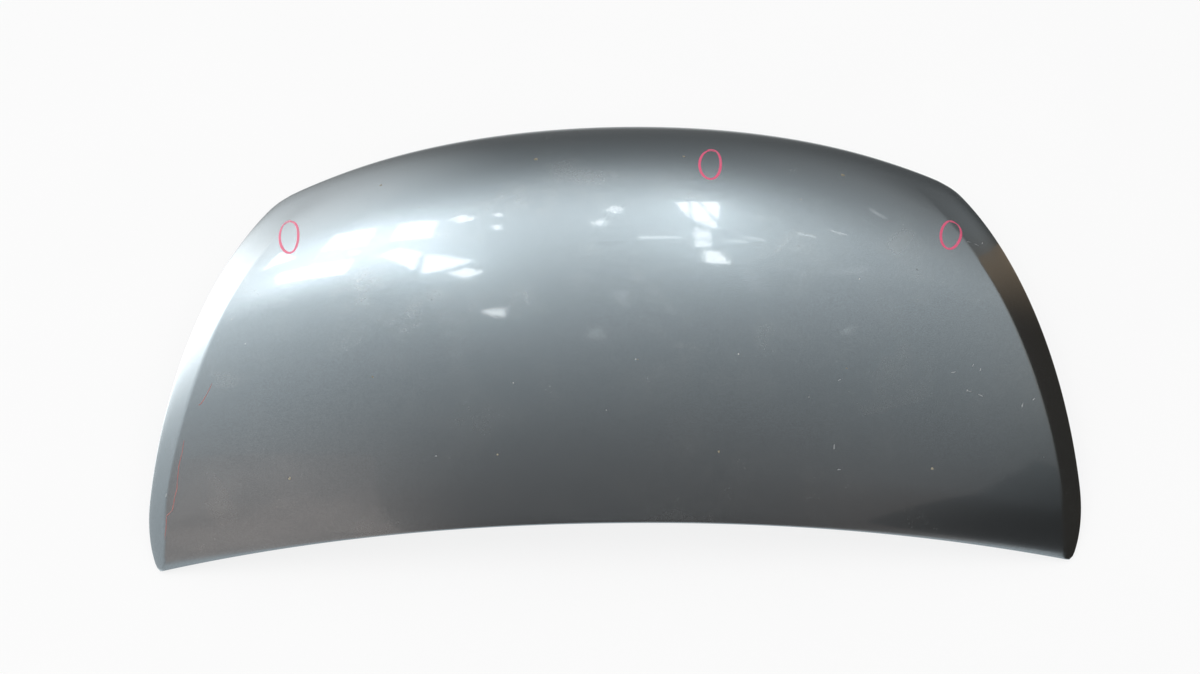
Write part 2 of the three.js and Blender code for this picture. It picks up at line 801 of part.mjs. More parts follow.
const strikerInner = reinforcement(
  pedestalWidth - 2 * reinforcementMargin,
  pedestalLength - 2 * reinforcementMargin,
  clearance,
  strikerBolts,
  boltHole,
);
addPiece("striker_reinforcement", toGeometry(strikerInner), primedSteel, pedestalSeat);

function makeStrikerPlate() {
  const size = [strikerPlateWidth, strikerPlateLength, padRounding];
  const plate = toSolid(roundedPlate(...size, strikerPlateBottom, strikerPlateTop));
  const reach = [strikerPlateBottom - 1, strikerPlateTop + 1];
  const bolted = strikerBolts.reduce(
    (solid, [x, y]) => bore(solid, roundBar(boltHole, ...reach).translate(x, y, 0)),
    plate,
  );
  return toGeometry(boltPlaces(strikerBarSpacing, true).reduce(
    (solid, [x, y]) => bore(solid, roundBar(barHole, ...reach).translate(x, y, 0)),
    bolted,
  ));
}
addPiece("striker_plate", makeStrikerPlate(), zincSteel, pedestalSeat);

function makeStrikerLoop() {
  const half = strikerBarSpacing / 2;
  const bottom = strikerPlateBottom - strikerReach + strikerBarDiameter / 2;
  const bend = strikerBarDiameter;
  const route = new THREE.CurvePath();
  const at = (y, z) => new THREE.Vector3(0, y, z);
  route.add(new THREE.LineCurve3(at(-half, strikerPlateTop), at(-half, bottom + bend)));
  route.add(new THREE.QuadraticBezierCurve3(at(-half, bottom + bend), at(-half, bottom), at(-half + bend, bottom)));
  route.add(new THREE.LineCurve3(at(-half + bend, bottom), at(half - bend, bottom)));
  route.add(new THREE.QuadraticBezierCurve3(at(half - bend, bottom), at(half, bottom), at(half, bottom + bend)));
  route.add(new THREE.LineCurve3(at(half, bottom + bend), at(half, strikerPlateTop)));
  const section = new THREE.Shape();
  section.absarc(0, 0, strikerBarDiameter / 2, 0, 2 * Math.PI);
  return new THREE.ExtrudeGeometry(section, { steps: 14, curveSegments: 5, extrudePath: route });
}
addPiece("striker_loop", makeStrikerLoop(), zincSteel, pedestalSeat);

const strikerNutBottom = clearance + reinforcementThickness + clearance;

function makeStrikerBolt() {
  const underHead = strikerPlateBottom - clearance;
  return toGeometry(join(
    hexPrism(nutAcrossFlats, underHead - boltHeadHeight, underHead),
    roundBar(boltFlangeDiameter, underHead - boltFlangeThickness, underHead),
    roundBar(strikerBoltDiameter, underHead - boltFlangeThickness, strikerNutBottom + nutHeight + boltEnd),
  ));
}

sides.forEach(([side], index) => {
  const [x, y] = strikerBolts[index];
  const seat = pedestalSeat.clone().multiply(new THREE.Matrix4().makeTranslation(x, y, 0));
  addPiece(`striker_bolt_${side}`, makeStrikerBolt(), zincSteel, seat);
  addPiece(`striker_nut_${side}`, weldNut(boltHole, strikerNutBottom), zincSteel, seat);
});

// Rubber buffer: a head under its seat, a stem through the hole and a bulb that holds it
function makeBuffer() {
  const head = -innerThickness - clearance;
  const above = clearance;
  const profile = [
    [0, head - bufferHeight],
    [bufferDiameter / 2 - 3, head - bufferHeight],
    [bufferDiameter / 2 - 1, head - bufferHeight + 2],
    [bufferDiameter / 2, head - 1],
    [bufferDiameter / 2, head],
    [bufferStemDiameter / 2, head],
    [bufferStemDiameter / 2, above],
    [bufferBulbDiameter / 2, above],
    [bufferBulbDiameter / 2 - 1, above + 2],
    [bufferStemDiameter / 4, above + bufferBulbHeight],
    [0, above + bufferBulbHeight],
  ];
  const points = profile.map(([radius, height]) => new THREE.Vector2(radius, height));
  return new THREE.LatheGeometry(points, roundSteps).rotateX(Math.PI / 2);
}
bufferSeats.forEach(([place, seat]) => addPiece(`buffer_${place}`, makeBuffer(), blackRubber, seat));

// Prop rod socket: a flange below the pad, a body through it and a lip above
function makeSocket() {
  const level = (grown, bottom, top) => {
    const width = socketSlotWidth + 2 * grown;
    return roundedPlate(width, socketSlotLength + 2 * grown, width / 2.05, bottom, top);
  };
  const flangeFace = socketPadFace - clearance;
  const lipFace = -socketPadDepth + clearance;
  const whole = join(
    level(socketWall + socketFlange, flangeFace - socketFlangeThickness, flangeFace),
    level(socketWall, flangeFace - socketFlangeThickness / 2, lipFace + socketFlangeThickness / 2),
    level(socketWall + socketLip, lipFace, lipFace + socketFlangeThickness),
  );
  return toGeometry(bore(whole, level(0, flangeFace - 2 * socketFlangeThickness, lipFace + 2 * socketFlangeThickness)));
}
addPiece("prop_rod_socket", makeSocket(), blackPlastic, socketSeat);

// Mastic beads stand on the lands and reach up to the skin
const skinMesh = new THREE.Mesh(bonnet.getObjectByName("outer_panel").geometry, bothSides);
const frameMesh = new THREE.Mesh(bonnet.getObjectByName("inner_panel").geometry, bothSides);

function addBead(name, [u, v]) {
  const up = skinNormal(u, v);
  const middle = under(u, v, (skinThickness + landDepth) / 2);
  const above = distanceTo(skinMesh, middle, up) - clearance;
  const beneath = distanceTo(frameMesh, middle, up.clone().negate()) - clearance;
  const seat = new THREE.Matrix4().makeRotationFromQuaternion(
    new THREE.Quaternion().setFromUnitVectors(new THREE.Vector3(0, 0, 1), up),
  ).setPosition(middle);
  addPiece(name, roundBar(beadDiameter, -beneath, above, beadSides), mastic, seat);
}

const blockNames = ["left_outer", "left_inner", "right_inner", "right_outer"];
blockNames.forEach((column, blockColumn) => {
  ends.forEach(([end], blockRow) => {
    const left = blockColumn * cellColumns;
    const rear = blockRow * cellRows;
    const ring = openingRing(left, rear, wallRun + landWidth / 2, openingRadius - landWidth / 2);
    const across = cellColumns / 2;
    const along = cellRows / 2;
    const innerSide = blockColumn < 2 ? cellColumns + along : 2 * cellColumns + cellRows + along;
    const places = { rear: across, side: innerSide, nose: cellColumns + cellRows + across };
    Object.entries(places).forEach(([edge, step]) => {
      const [before, after] = [ring[Math.floor(step)], ring[Math.ceil(step)]];
      const middle = before.map((value, axis) => (value + after[axis]) / 2);
      addBead(`mastic_${column}_${end}_${edge}`, middle);
    });
  });
});

// The origin lies under the middle of the bonnet, on the ground that its corners rest on
const extent = new THREE.Box3().setFromObject(bonnet, true);
const centre = extent.getCenter(new THREE.Vector3());
bonnet.position.set(-centre.x, -centre.y, -extent.min.z);

export default bonnet;
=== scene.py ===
import json
import math

import bmesh
import bpy
import numpy as np
from mathutils import Matrix, Vector

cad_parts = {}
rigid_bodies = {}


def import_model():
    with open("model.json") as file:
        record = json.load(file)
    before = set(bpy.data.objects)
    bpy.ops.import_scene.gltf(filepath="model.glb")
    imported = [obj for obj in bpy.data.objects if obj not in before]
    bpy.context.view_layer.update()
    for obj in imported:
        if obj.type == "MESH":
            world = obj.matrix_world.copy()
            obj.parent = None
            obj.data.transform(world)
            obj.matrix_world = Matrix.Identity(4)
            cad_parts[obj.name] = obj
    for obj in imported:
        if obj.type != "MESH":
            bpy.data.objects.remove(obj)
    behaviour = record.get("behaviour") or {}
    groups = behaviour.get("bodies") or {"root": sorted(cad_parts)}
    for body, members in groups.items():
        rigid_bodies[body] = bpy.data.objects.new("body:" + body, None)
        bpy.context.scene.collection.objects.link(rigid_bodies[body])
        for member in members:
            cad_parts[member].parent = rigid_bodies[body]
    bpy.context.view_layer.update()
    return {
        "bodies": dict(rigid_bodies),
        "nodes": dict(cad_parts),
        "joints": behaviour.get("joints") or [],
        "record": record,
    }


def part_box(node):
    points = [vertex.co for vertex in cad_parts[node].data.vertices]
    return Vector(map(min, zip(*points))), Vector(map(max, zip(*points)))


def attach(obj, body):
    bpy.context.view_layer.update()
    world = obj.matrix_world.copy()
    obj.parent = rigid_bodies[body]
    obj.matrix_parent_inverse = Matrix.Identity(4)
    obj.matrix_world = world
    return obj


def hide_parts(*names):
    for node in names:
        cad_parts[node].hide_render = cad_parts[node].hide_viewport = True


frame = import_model()
print("frame loaded")

# Outline, heights and creases of the pressing, in millimetres from the middle of the rear edge, with
# angles in degrees and numbers of steps for the curves
bonnet = {
    "noseReach": 825.0,
    "rearCornerBack": 28.0,
    "tipHalfWidth": 687.0,
    "widestHalfWidth": 713.0,
    "widestAt": 90.0,
    "tipFlare": 48.0,
    "sideHandle": 230.0,
    "lampHandle": 180.0,
    "lampAngle": 21.0,
    "noseHalfWidth": 588.0,
    "noseSweep": 84.0,
    "noseCornerPull": 27.0,
    "tipRounding": 14.0,
    "noseCornerRounding": 34.0,
    "rearRise": 85.0,
    "rearSlope": 14.0,
    "rearHandle": 270.0,
    "noseRise": 50.0,
    "noseSlope": 42.0,
    "noseHandle": 190.0,
    "crownPower": 2.2,
    "sideArchRear": 58.0,
    "sideArchNose": 96.0,
    "creaseTipInset": 10.0,
    "creaseRearInset": 32.0,
    "creaseNoseInset": 125.0,
    "creaseTipEnd": 0.1,
    "creaseGrowth": 1.5,
    "creaseBend": 21.0,
    "creaseFadeStart": 0.5,
    "creaseFadeEnd": 0.9,
    "creaseSoftness": 1.6,
    "sideSteps": 1500,
    "centreSteps": 4000,
}


def lerp(start, end, share):
    return start + (end - start) * share


def smooth(share):
    share = np.clip(share, 0.0, 1.0)
    return share * share * (3.0 - 2.0 * share)


def bezier(points, share):
    points = [np.asarray(point, float) for point in points]
    share = np.asarray(share, float)[..., None]
    while len(points) > 1:
        points = [lerp(a, b, share) for a, b in zip(points, points[1:])]
    return points[0]


class Outline:
    def __init__(self, b):
        lean = math.radians(b["lampAngle"])
        self.tip = np.array([b["tipHalfWidth"], -b["rearCornerBack"]])
        self.corner = np.array([b["noseHalfWidth"], b["noseReach"] - b["noseSweep"] - b["noseCornerPull"]])
        widest = [b["widestHalfWidth"], b["widestAt"]]
        flare = [b["widestHalfWidth"], self.tip[1] + b["tipFlare"]]
        lampPull = self.corner + b["lampHandle"] * np.array([math.sin(lean), -math.cos(lean)])
        share = np.linspace(0.0, 1.0, b["sideSteps"])
        rear = bezier([self.tip, flare, widest], share)
        front = bezier([widest, [widest[0], widest[1] + b["sideHandle"]], lampPull, self.corner], share)
        self.side = np.vstack([rear, front[1:]])
        steps = np.linalg.norm(np.diff(self.side, axis=0), axis=1)
        self.length = steps.sum()
        self.run = np.concatenate([[0.0], np.cumsum(steps)]) / self.length
        self.tipRear = 1.0 - b["tipRounding"] / b["tipHalfWidth"]
        self.tipSide = b["tipRounding"] / self.length
        self.cornerNose = 1.0 - b["noseCornerRounding"] / b["noseHalfWidth"]
        self.cornerSide = 1.0 - b["noseCornerRounding"] / self.length
        self.tipRound = [self.rearEdge(self.tipRear), self.tip, self.sideEdge(self.tipSide)]
        self.noseRound = [self.sideEdge(self.cornerSide), self.corner, self.noseEdge(self.cornerNose)]

    def rearEdge(self, across):
        across = np.asarray(across, float)
        return np.stack([bonnet["tipHalfWidth"] * across, -bonnet["rearCornerBack"] * across ** 2], -1)

    def noseEdge(self, across):
        across = np.asarray(across, float)
        back = bonnet["noseSweep"] * across ** 2 + bonnet["noseCornerPull"] * across ** 5
        return np.stack([bonnet["noseHalfWidth"] * across, bonnet["noseReach"] - back], -1)

    def sideEdge(self, along):
        return np.stack([np.interp(along, self.run, self.side[:, axis]) for axis in (0, 1)], -1)

    def rear(self, across):
        turned = 0.5 * np.clip((across - self.tipRear) / (1.0 - self.tipRear), 0.0, 1.0)
        plain = (across <= self.tipRear)[..., None]
        return np.where(plain, self.rearEdge(across), bezier(self.tipRound, turned))

    def nose(self, across):
        turned = 1.0 - 0.5 * np.clip((across - self.cornerNose) / (1.0 - self.cornerNose), 0.0, 1.0)
        plain = (across <= self.cornerNose)[..., None]
        return np.where(plain, self.noseEdge(across), bezier(self.noseRound, turned))

    def sideAt(self, along):
        along = np.asarray(along, float)
        atTip = bezier(self.tipRound, 0.5 + 0.5 * np.clip(along / self.tipSide, 0.0, 1.0))
        past = np.clip((along - self.cornerSide) / (1.0 - self.cornerSide), 0.0, 1.0)
        atNose = bezier(self.noseRound, 0.5 * past)
        plain = np.where((along < self.tipSide)[..., None], atTip, self.sideEdge(along))
        return np.where((along > self.cornerSide)[..., None], atNose, plain)


outline = Outline(bonnet)
tipPoint = outline.sideAt(0.0)
cornerPoint = outline.sideAt(1.0)
rearTan = math.tan(math.radians(bonnet["rearSlope"]))
noseTan = math.tan(math.radians(bonnet["noseSlope"]))
centreLine = bezier(
    [
        [0.0, bonnet["rearRise"]],
        [bonnet["rearHandle"], bonnet["rearRise"] + bonnet["rearHandle"] * rearTan],
        [bonnet["noseReach"] - bonnet["noseHandle"], bonnet["noseRise"] + bonnet["noseHandle"] * noseTan],
        [bonnet["noseReach"], bonnet["noseRise"]],
    ],
    np.linspace(0.0, 1.0, bonnet["centreSteps"]),
)


def creaseInset(along):
    b = bonnet
    tip = (1.0 - np.clip(along / b["creaseTipEnd"], 0, 1)) ** 2
    atTip = lerp(b["creaseRearInset"], b["creaseTipInset"], tip)
    grown = np.clip((along - b["creaseTipEnd"]) / (1.0 - b["creaseTipEnd"]), 0, 1) ** b["creaseGrowth"]
    return np.where(along < b["creaseTipEnd"], atTip, lerp(b["creaseRearInset"], b["creaseNoseInset"], grown))


def creaseAcross(along):
    return 1.0 - creaseInset(along) / outline.sideAt(along)[..., 0]


# The skin in millimetres: a crown up to the crease, and beyond it a shoulder that bends down more
def skin(u, v):
    b = bonnet
    u, v = np.broadcast_arrays(np.asarray(u, float), np.asarray(v, float))
    across = np.abs(u)
    rear, nose, side = outline.rear(across), outline.nose(across), outline.sideAt(v)
    x = lerp(rear[..., 0], nose[..., 0], v) + across * (side[..., 0] - lerp(tipPoint[0], cornerPoint[0], v))
    y = lerp(rear[..., 1], nose[..., 1], v) + across * (side[..., 1] - lerp(tipPoint[1], cornerPoint[1], v))
    inset = creaseInset(v)
    crease = 1.0 - inset / side[..., 0]
    fade = 1.0 - smooth((v - b["creaseFadeStart"]) / (b["creaseFadeEnd"] - b["creaseFadeStart"]))
    bend = math.tan(math.radians(b["creaseBend"])) * fade
    steepness = b["crownPower"] / (side[..., 0] * crease)
    centre = np.interp(v * b["noseReach"], centreLine[:, 0], centreLine[:, 1])
    rest = 1.0 - v
    edge = 3.0 * rest * v * (rest * b["sideArchRear"] + v * b["sideArchNose"])
    creaseHeight = (edge + inset * (steepness * centre + bend)) / (1.0 + inset * steepness)
    crown = centre - (centre - creaseHeight) * (across / crease) ** b["crownPower"]
    shoulder = lerp(creaseHeight, edge, (across - crease) / (1.0 - crease))
    height = np.where(across < crease, crown, shoulder)
    softness = b["creaseSoftness"] * fade + 1e-9
    closeness = np.clip(1.0 - np.abs(crown - shoulder) / softness, 0.0, 1.0)
    height = height - softness * closeness ** 2 / 4.0
    return np.stack([np.sign(u) * x, y, height], -1)


def skinNormal(u, v):
    step, rim = 0.002, 0.016
    a = np.clip(u, rim - 1, 1 - rim)
    c = np.clip(v, rim, 1 - rim)
    normal = np.cross(skin(a + step, c) - skin(a - step, c), skin(a, c + step) - skin(a, c - step))
    return normal / np.linalg.norm(normal, axis=-1, keepdims=True)


def under(u, v, depth):
    return skin(u, v) - skinNormal(u, v) * np.asarray(depth, float)[..., None]


# From the pressing's millimetres to the row frame, so that the skin fills the CAD skin's box
skinLow, skinHigh = (np.array(corner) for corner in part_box("outer_panel"))


def toFrame(points, fit):
    return (points - fit[0]) * fit[1] + fit[2]


def makeMesh(name, points, faces):
    mesh = bpy.data.meshes.new(name)
    mesh.from_pydata([tuple(point) for point in points], [], [tuple(face) for face in faces])
    mesh.validate()
    piece = bpy.data.objects.new(name, mesh)
    bpy.context.scene.collection.objects.link(piece)
    return piece


def bakeModifiers(piece):
    shown = piece.evaluated_get(bpy.context.evaluated_depsgraph_get())
    mesh = bpy.data.meshes.new_from_object(shown)
    piece.modifiers.clear()
    piece.data = mesh
    mesh.name = piece.name
    return piece


def shade(piece, angle):
    piece.data.shade_smooth()
    piece.data.set_sharp_from_angle(angle=math.radians(angle))


def finishPiece(piece, material, slot, *nodes):
    piece.data.materials.clear()
    piece.data.materials.append(material)
    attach(piece, "root")
    if nodes:
        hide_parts(*nodes)


# Loops of places, joined one to the next by quads
class Surface:
    def __init__(self):
        self.points = []
        self.faces = []
        self.count = 0

    def loop(self, points):
        self.points.append(points)
        start = self.count
        self.count += len(points)
        return list(range(start, self.count))

    def bridge(self, outer, inner, closed=True):
        steps = len(outer) if closed else len(outer) - 1
        for step in range(steps):
            after = (step + 1) % len(outer)
            self.faces.append((outer[step], outer[after], inner[after], inner[step]))

    def allPoints(self):
        return np.vstack(self.points)


def blockEdge(left, rear, width, height):
    places = [(left + step, rear) for step in range(width)]
    places += [(left + width, rear + step) for step in range(height)]
    places += [(left + width - step, rear + height) for step in range(width)]
    places += [(left, rear + height - step) for step in range(height)]
    return np.array(places)


# Sheet metal, and the hem that joins the two pressings, in millimetres
sheetMetal = {
    "skinThickness": 0.8,
    "innerThickness": 0.8,
    "clearance": 0.4,
    "hemWidth": 11.0,
    "foldStart": 5.0,
    "flangeEnd": 17.0,
    "foldSteps": 8,
    "crownColumns": 62,
    "creaseOffsets": [-9.0, -6.0, -4.0, -2.5, -1.2, 0.0, 1.2, 2.5, 4.0, 6.0, 9.0],
    "shoulderColumns": 6,
    "leastColumn": 0.4,
    "rows": 120,
    "rowCrowding": 0.25,
}


def skinStations(along, inset):
    s = sheetMetal
    halfWidth = outline.sideAt(along)[..., 0]
    outermost = 1.0 - inset / halfWidth
    crease = creaseAcross(along)
    offsets = np.array(s["creaseOffsets"])
    start = crease + offsets[0] / halfWidth
    end = np.minimum(crease + offsets[-1] / halfWidth, outermost)
    crown = [start * step / s["crownColumns"] for step in range(s["crownColumns"])]
    bend = [crease + offset / halfWidth for offset in offsets]
    steps = s["shoulderColumns"]
    shoulder = [lerp(end, outermost, (step + 1) / steps) for step in range(steps)]
    stations = crown + bend + shoulder
    left = np.arange(len(stations))[::-1]
    limits = [outermost - s["leastColumn"] * columns / halfWidth for columns in left]
    half = [np.minimum(place, limit) for place, limit in zip(stations, limits)]
    return np.stack([-place for place in half[:0:-1]] + half, -1)


def rowShare(index, rows):
    share = index / rows
    crowding = sheetMetal["rowCrowding"]
    return share * (1 + crowding - crowding * share)


def makeSkin():
    s = sheetMetal
    rows = s["rows"]
    surface = Surface()
    hemThickness = 2 * s["skinThickness"] + s["innerThickness"] + 2 * s["clearance"]
    foldRadius = hemThickness / 2

    def placesAt(inset):
        edge = inset / bonnet["noseReach"]
        along = lerp(edge, 1 - edge, rowShare(np.arange(rows + 1), rows))
        return skinStations(along, inset), along

    across, along = placesAt(s["flangeEnd"])
    columns = across.shape[1] - 1
    grid = [surface.loop(under(across[row], along[row], np.zeros(columns + 1))) for row in range(rows + 1)]
    for row in range(rows):
        surface.bridge(grid[row], grid[row + 1], closed=False)
    rim = blockEdge(0, 0, columns, rows)
    last = [grid[row][column] for column, row in rim]

    def ring(inset, depth):
        ringAcross, ringAlong = placesAt(inset)
        u = ringAcross[rim[:, 1], rim[:, 0]]
        return surface.loop(under(u, ringAlong[rim[:, 1]], np.full(len(rim), depth)))

    folds = [(s["hemWidth"], 0.0), (s["foldStart"], 0.0)]
    for step in range(s["foldSteps"] + 1):
        turned = math.pi * step / s["foldSteps"]
        folds.append((foldRadius * (1 - math.sin(turned)), foldRadius * (1 - math.cos(turned))))
    folds += [(s["foldStart"], hemThickness), (s["hemWidth"], hemThickness)]
    for inset, depth in folds:
        loop = ring(inset, depth)
        surface.bridge(loop, last)
        last = loop
    return surface


skinSurface = makeSkin()
skinPoints = skinSurface.allPoints()
pressLow, pressHigh = skinPoints.min(axis=0), skinPoints.max(axis=0)
margin = 1e-5
fit = (
    (pressLow + pressHigh) / 2,
    (skinHigh - skinLow - 2 * margin) / (pressHigh - pressLow),
    (skinLow + skinHigh) / 2,
)
print("fit of the skin to its box", fit[1] * 1000)

solidify = {"offset": -1.0, "sharpAngle": 35.0}


def giveThickness(piece, thickness, even=True):
    wall = piece.modifiers.new("wall", "SOLIDIFY")
    wall.thickness = thickness / 1000
    wall.offset = solidify["offset"]
    wall.use_even_offset = even
    bakeModifiers(piece)
    shade(piece, solidify["sharpAngle"])


outerPanel = makeMesh("outerPanel", toFrame(skinPoints, fit), skinSurface.faces)
giveThickness(outerPanel, sheetMetal["skinThickness"])
print("outer panel", len(outerPanel.data.polygons), "faces")


# The place on the skin, or on another surface that follows it, that lies at X and Y
def findOnSkin(x, y, reach=skin):
    u, v = x / bonnet["widestHalfWidth"], y / bonnet["noseReach"]
    step, rim, turns = 1e-4, 0.001, 12
    for turn in range(turns):
        here = reach(u, v)[..., :2]
        alongU = (reach(u + step, v)[..., :2] - here) / step
        alongV = (reach(u, v + step)[..., :2] - here) / step
        du, dv = np.linalg.solve(np.stack([alongU, alongV], -1), np.array([x, y]) - here)
        u, v = float(np.clip(u + du, rim - 1, 1 - rim)), float(np.clip(v + dv, rim, 1 - rim))
    return u, v


# Inner panel: channels and ribs pressed down from a flange in the hem, and lands round its openings.
# Sizes in millimetres, as insets from the rim, depths under the skin and numbers of mesh steps
innerPressing = {
    "crownColumns": 36,
    "shoulderColumns": 4,
    "rows": 64,
    "creaseMargin": 1.0,
    "flangeInsets": [2.7, 6.0, 11.0, 13.5],
    "flangeDepth": 1.2,
    "outerWall": (15.5, 31.5),
    "innerWall": (2.5, 15.5),
    "wallRun": 13.0,
    "landEnd": 28.0,
    "sideFrame": 98.0,
    "rearFrame": 88.0,
    "noseFrame": 122.0,
    "ribFan": 0.24,
    "ribWidth": 52.0,
    "groundClearance": 10.0,
    "landDepth": 6.5,
    "channelDepth": 26.0,
    "openingRadius": 46.0,
    "bendShare": 0.3,
    "wallSteps": 9,
    "railSteps": 8,
    "ribSteps": 3,
    "landSteps": 3,
    "cornerSteps": 5,
    "crossingHole": 24.0,
    "ribHole": 16.0,
}
halfColumns = innerPressing["crownColumns"] + innerPressing["shoulderColumns"]
cellColumns = halfColumns // 2
cellRows = innerPressing["rows"] // 2


def insetPlace(column, row, side, rear, nose):
    p = innerPressing
    reach = bonnet["noseReach"]
    along = lerp(rear / reach, 1 - nose / reach, rowShare(row, p["rows"]))
    halfWidth = outline.sideAt(along)[..., 0]
    outermost = 1.0 - side / halfWidth
    crease = np.minimum(creaseAcross(along), outermost - p["creaseMargin"] / halfWidth)
    steps = np.abs(column - halfColumns)
    beyond = lerp(crease, outermost, (steps - p["crownColumns"]) / p["shoulderColumns"])
    across = np.where(steps <= p["crownColumns"], crease * steps / p["crownColumns"], beyond)
    return np.sign(column - halfColumns) * across, along


def framePlace(column, row):
    p = innerPressing
    u, v = insetPlace(column, row, p["sideFrame"], p["rearFrame"], p["noseFrame"])
    return u * (1.0 - p["ribFan"] * v * (1.0 - u * u)), v


def floorDepth(u, v):
    p = innerPressing
    return np.clip(skin(u, v)[..., 2] - p["groundClearance"], p["landDepth"], p["channelDepth"])


def floorPlace(u, v):
    return under(u, v, floorDepth(u, v))


def softRamp(share):
    bend = innerPressing["bendShare"]
    start = share * share / (2 * bend * (1 - bend))
    end = 1 - (1 - share) ** 2 / (2 * bend * (1 - bend))
    middle = (share - bend / 2) / (1 - bend)
    return np.where(share < bend, start, np.where(share > 1 - bend, end, middle))


# Points round a rectangle with rounded corners, from the middle of its first corner
def roundedLoop(halfWidth, halfLength, radius, widthSteps, lengthSteps, cornerSteps):
    points = []
    for corner, (signX, signY) in enumerate([(-1, -1), (1, -1), (1, 1), (-1, 1)]):
        steps, half = [(widthSteps, halfWidth), (lengthSteps, halfLength)][corner % 2]
        heading = corner * math.pi / 2
        step = np.arange(steps)
        turned = np.clip(step, 0, cornerSteps) + np.clip(step - steps + cornerSteps, 0, cornerSteps)
        angle = heading + (turned / cornerSteps - 3) * math.pi / 4
        run = 2 * (half - radius) * np.clip((step - cornerSteps) / (steps - 2 * cornerSteps), 0, 1)
        x = signX * (halfWidth - radius) + run * math.cos(heading) + radius * np.cos(angle)
        y = signY * (halfLength - radius) + run * math.sin(heading) + radius * np.sin(angle)
        points.append(np.stack([x, y], -1))
    return np.vstack(points)


def openingRing(left, rear, inset):
    p = innerPressing

    def at(column, row):
        return skin(*framePlace(column, row))

    middleColumn, middleRow = left + cellColumns / 2, rear + cellRows / 2
    halfWidth = np.linalg.norm(at(left, middleRow) - at(left + cellColumns, middleRow)) / 2
    halfLength = np.linalg.norm(at(middleColumn, rear) - at(middleColumn, rear + cellRows)) / 2
    leftRib = 0.0 if left == 0 else p["ribWidth"] / 2
    rightRib = 0.0 if left + cellColumns == 2 * halfColumns else p["ribWidth"] / 2
    rearRib = 0.0 if rear == 0 else p["ribWidth"] / 2
    noseRib = 0.0 if rear + cellRows == p["rows"] else p["ribWidth"] / 2
    width = halfWidth - (leftRib + rightRib) / 2 - inset
    length = halfLength - (rearRib + noseRib) / 2 - inset
    radius = p["openingRadius"] - max(inset - p["wallRun"], 0.0)
    ring = roundedLoop(width, length, radius, cellColumns, cellRows, p["cornerSteps"])
    shareAcross = 0.5 + 0.5 * (ring[:, 0] + (leftRib - rightRib) / 2) / halfWidth
    shareAlong = 0.5 + 0.5 * (ring[:, 1] + (rearRib - noseRib) / 2) / halfLength
    first, along = framePlace(left, rear + cellRows * shareAlong)
    last = framePlace(left + cellColumns, rear + cellRows * shareAlong)[0]
    return np.stack([lerp(first, last, shareAcross), along])


def makeInnerSurface():
    p = innerPressing
    surface = Surface()
    rim = blockEdge(0, 0, 2 * halfColumns, p["rows"]).T
    loops = []

    def rimPlaces(inset):
        return np.stack(insetPlace(*rim, inset, inset, inset))

    for inset in p["flangeInsets"]:
        places = rimPlaces(inset)
        loops.append(surface.loop(under(*places, np.full(rim.shape[1], p["flangeDepth"]))))
    for step in range(p["wallSteps"] + 1):
        share = step / p["wallSteps"]
        places = rimPlaces(lerp(*p["outerWall"], share))
        depths = lerp(p["flangeDepth"], floorDepth(*places), softRamp(share))
        loops.append(surface.loop(under(*places, depths)))
    frame = np.stack(framePlace(*rim))
    for step in range(1, p["railSteps"]):
        loops.append(surface.loop(floorPlace(*lerp(places, frame, step / p["railSteps"]))))
    cells = [(left, rear) for left in range(0, 2 * halfColumns, cellColumns) for rear in (0, cellRows)]
    lines = {cell: [tuple(place) for place in blockEdge(*cell, cellColumns, cellRows)] for cell in cells}
    shared = sorted(set(place for line in lines.values() for place in line))
    indices = dict(zip(shared, surface.loop(floorPlace(*framePlace(*np.array(shared).T)))))
    loops.append([indices[tuple(place)] for place in rim.T])
    for outer, inner in zip(loops, loops[1:]):
        surface.bridge(outer, inner)
    for cell, line in lines.items():
        last = [indices[place] for place in line]
        start = np.stack(framePlace(*np.array(line).T))
        foot = openingRing(*cell, p["innerWall"][0])
        rings = [(lerp(start, foot, step / p["ribSteps"]), 0.0) for step in range(1, p["ribSteps"])]
        for step in range(p["wallSteps"] + 1):
            share = step / p["wallSteps"]
            rings.append((openingRing(*cell, lerp(*p["innerWall"], share)), softRamp(share)))
        for step in range(1, p["landSteps"] + 1):
            inset = lerp(p["innerWall"][1], p["landEnd"], step / p["landSteps"])
            rings.append((openingRing(*cell, inset), 1.0))
        for places, raised in rings:
            loop = surface.loop(under(*places, lerp(floorDepth(*places), p["landDepth"], raised)))
            surface.bridge(last, loop)
            last = loop
    return surface


mm = 0.001


# A place on the channel floor, with its own directions: right, forward and up
class Seat:
    def __init__(self, origin, up):
        self.origin = np.array(origin, float)
        self.up = np.array(up, float) / np.linalg.norm(up)
        forward = np.cross(self.up, [1.0, 0.0, 0.0])
        self.forward = forward / np.linalg.norm(forward)
        self.axes = np.stack([np.cross(self.forward, self.up), self.forward, self.up])

    def place(self, points):
        return self.origin + mm * np.asarray(points, float) @ self.axes

    def local(self, points):
        return (points - self.origin) @ self.axes.T / mm

    def moved(self, x, y):
        return Seat(self.place((x, y, 0.0)), self.up)


def fromFrame(point):
    return (np.asarray(point) - fit[2]) / fit[1] + fit[0]


# The seat of a CAD piece whose middle stands so many millimetres above it
def seatOf(node, middle):
    centre = np.mean([np.array(corner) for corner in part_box(node)], axis=0)
    u, v = findOnSkin(*fromFrame(centre)[:2], floorPlace)
    step = 0.004
    alongX = floorPlace(u + step, v) - floorPlace(u - step, v)
    alongY = floorPlace(u, v + step) - floorPlace(u, v - step)
    up = np.cross(alongX, alongY)
    return Seat(centre - mm * middle * up / np.linalg.norm(up), up)


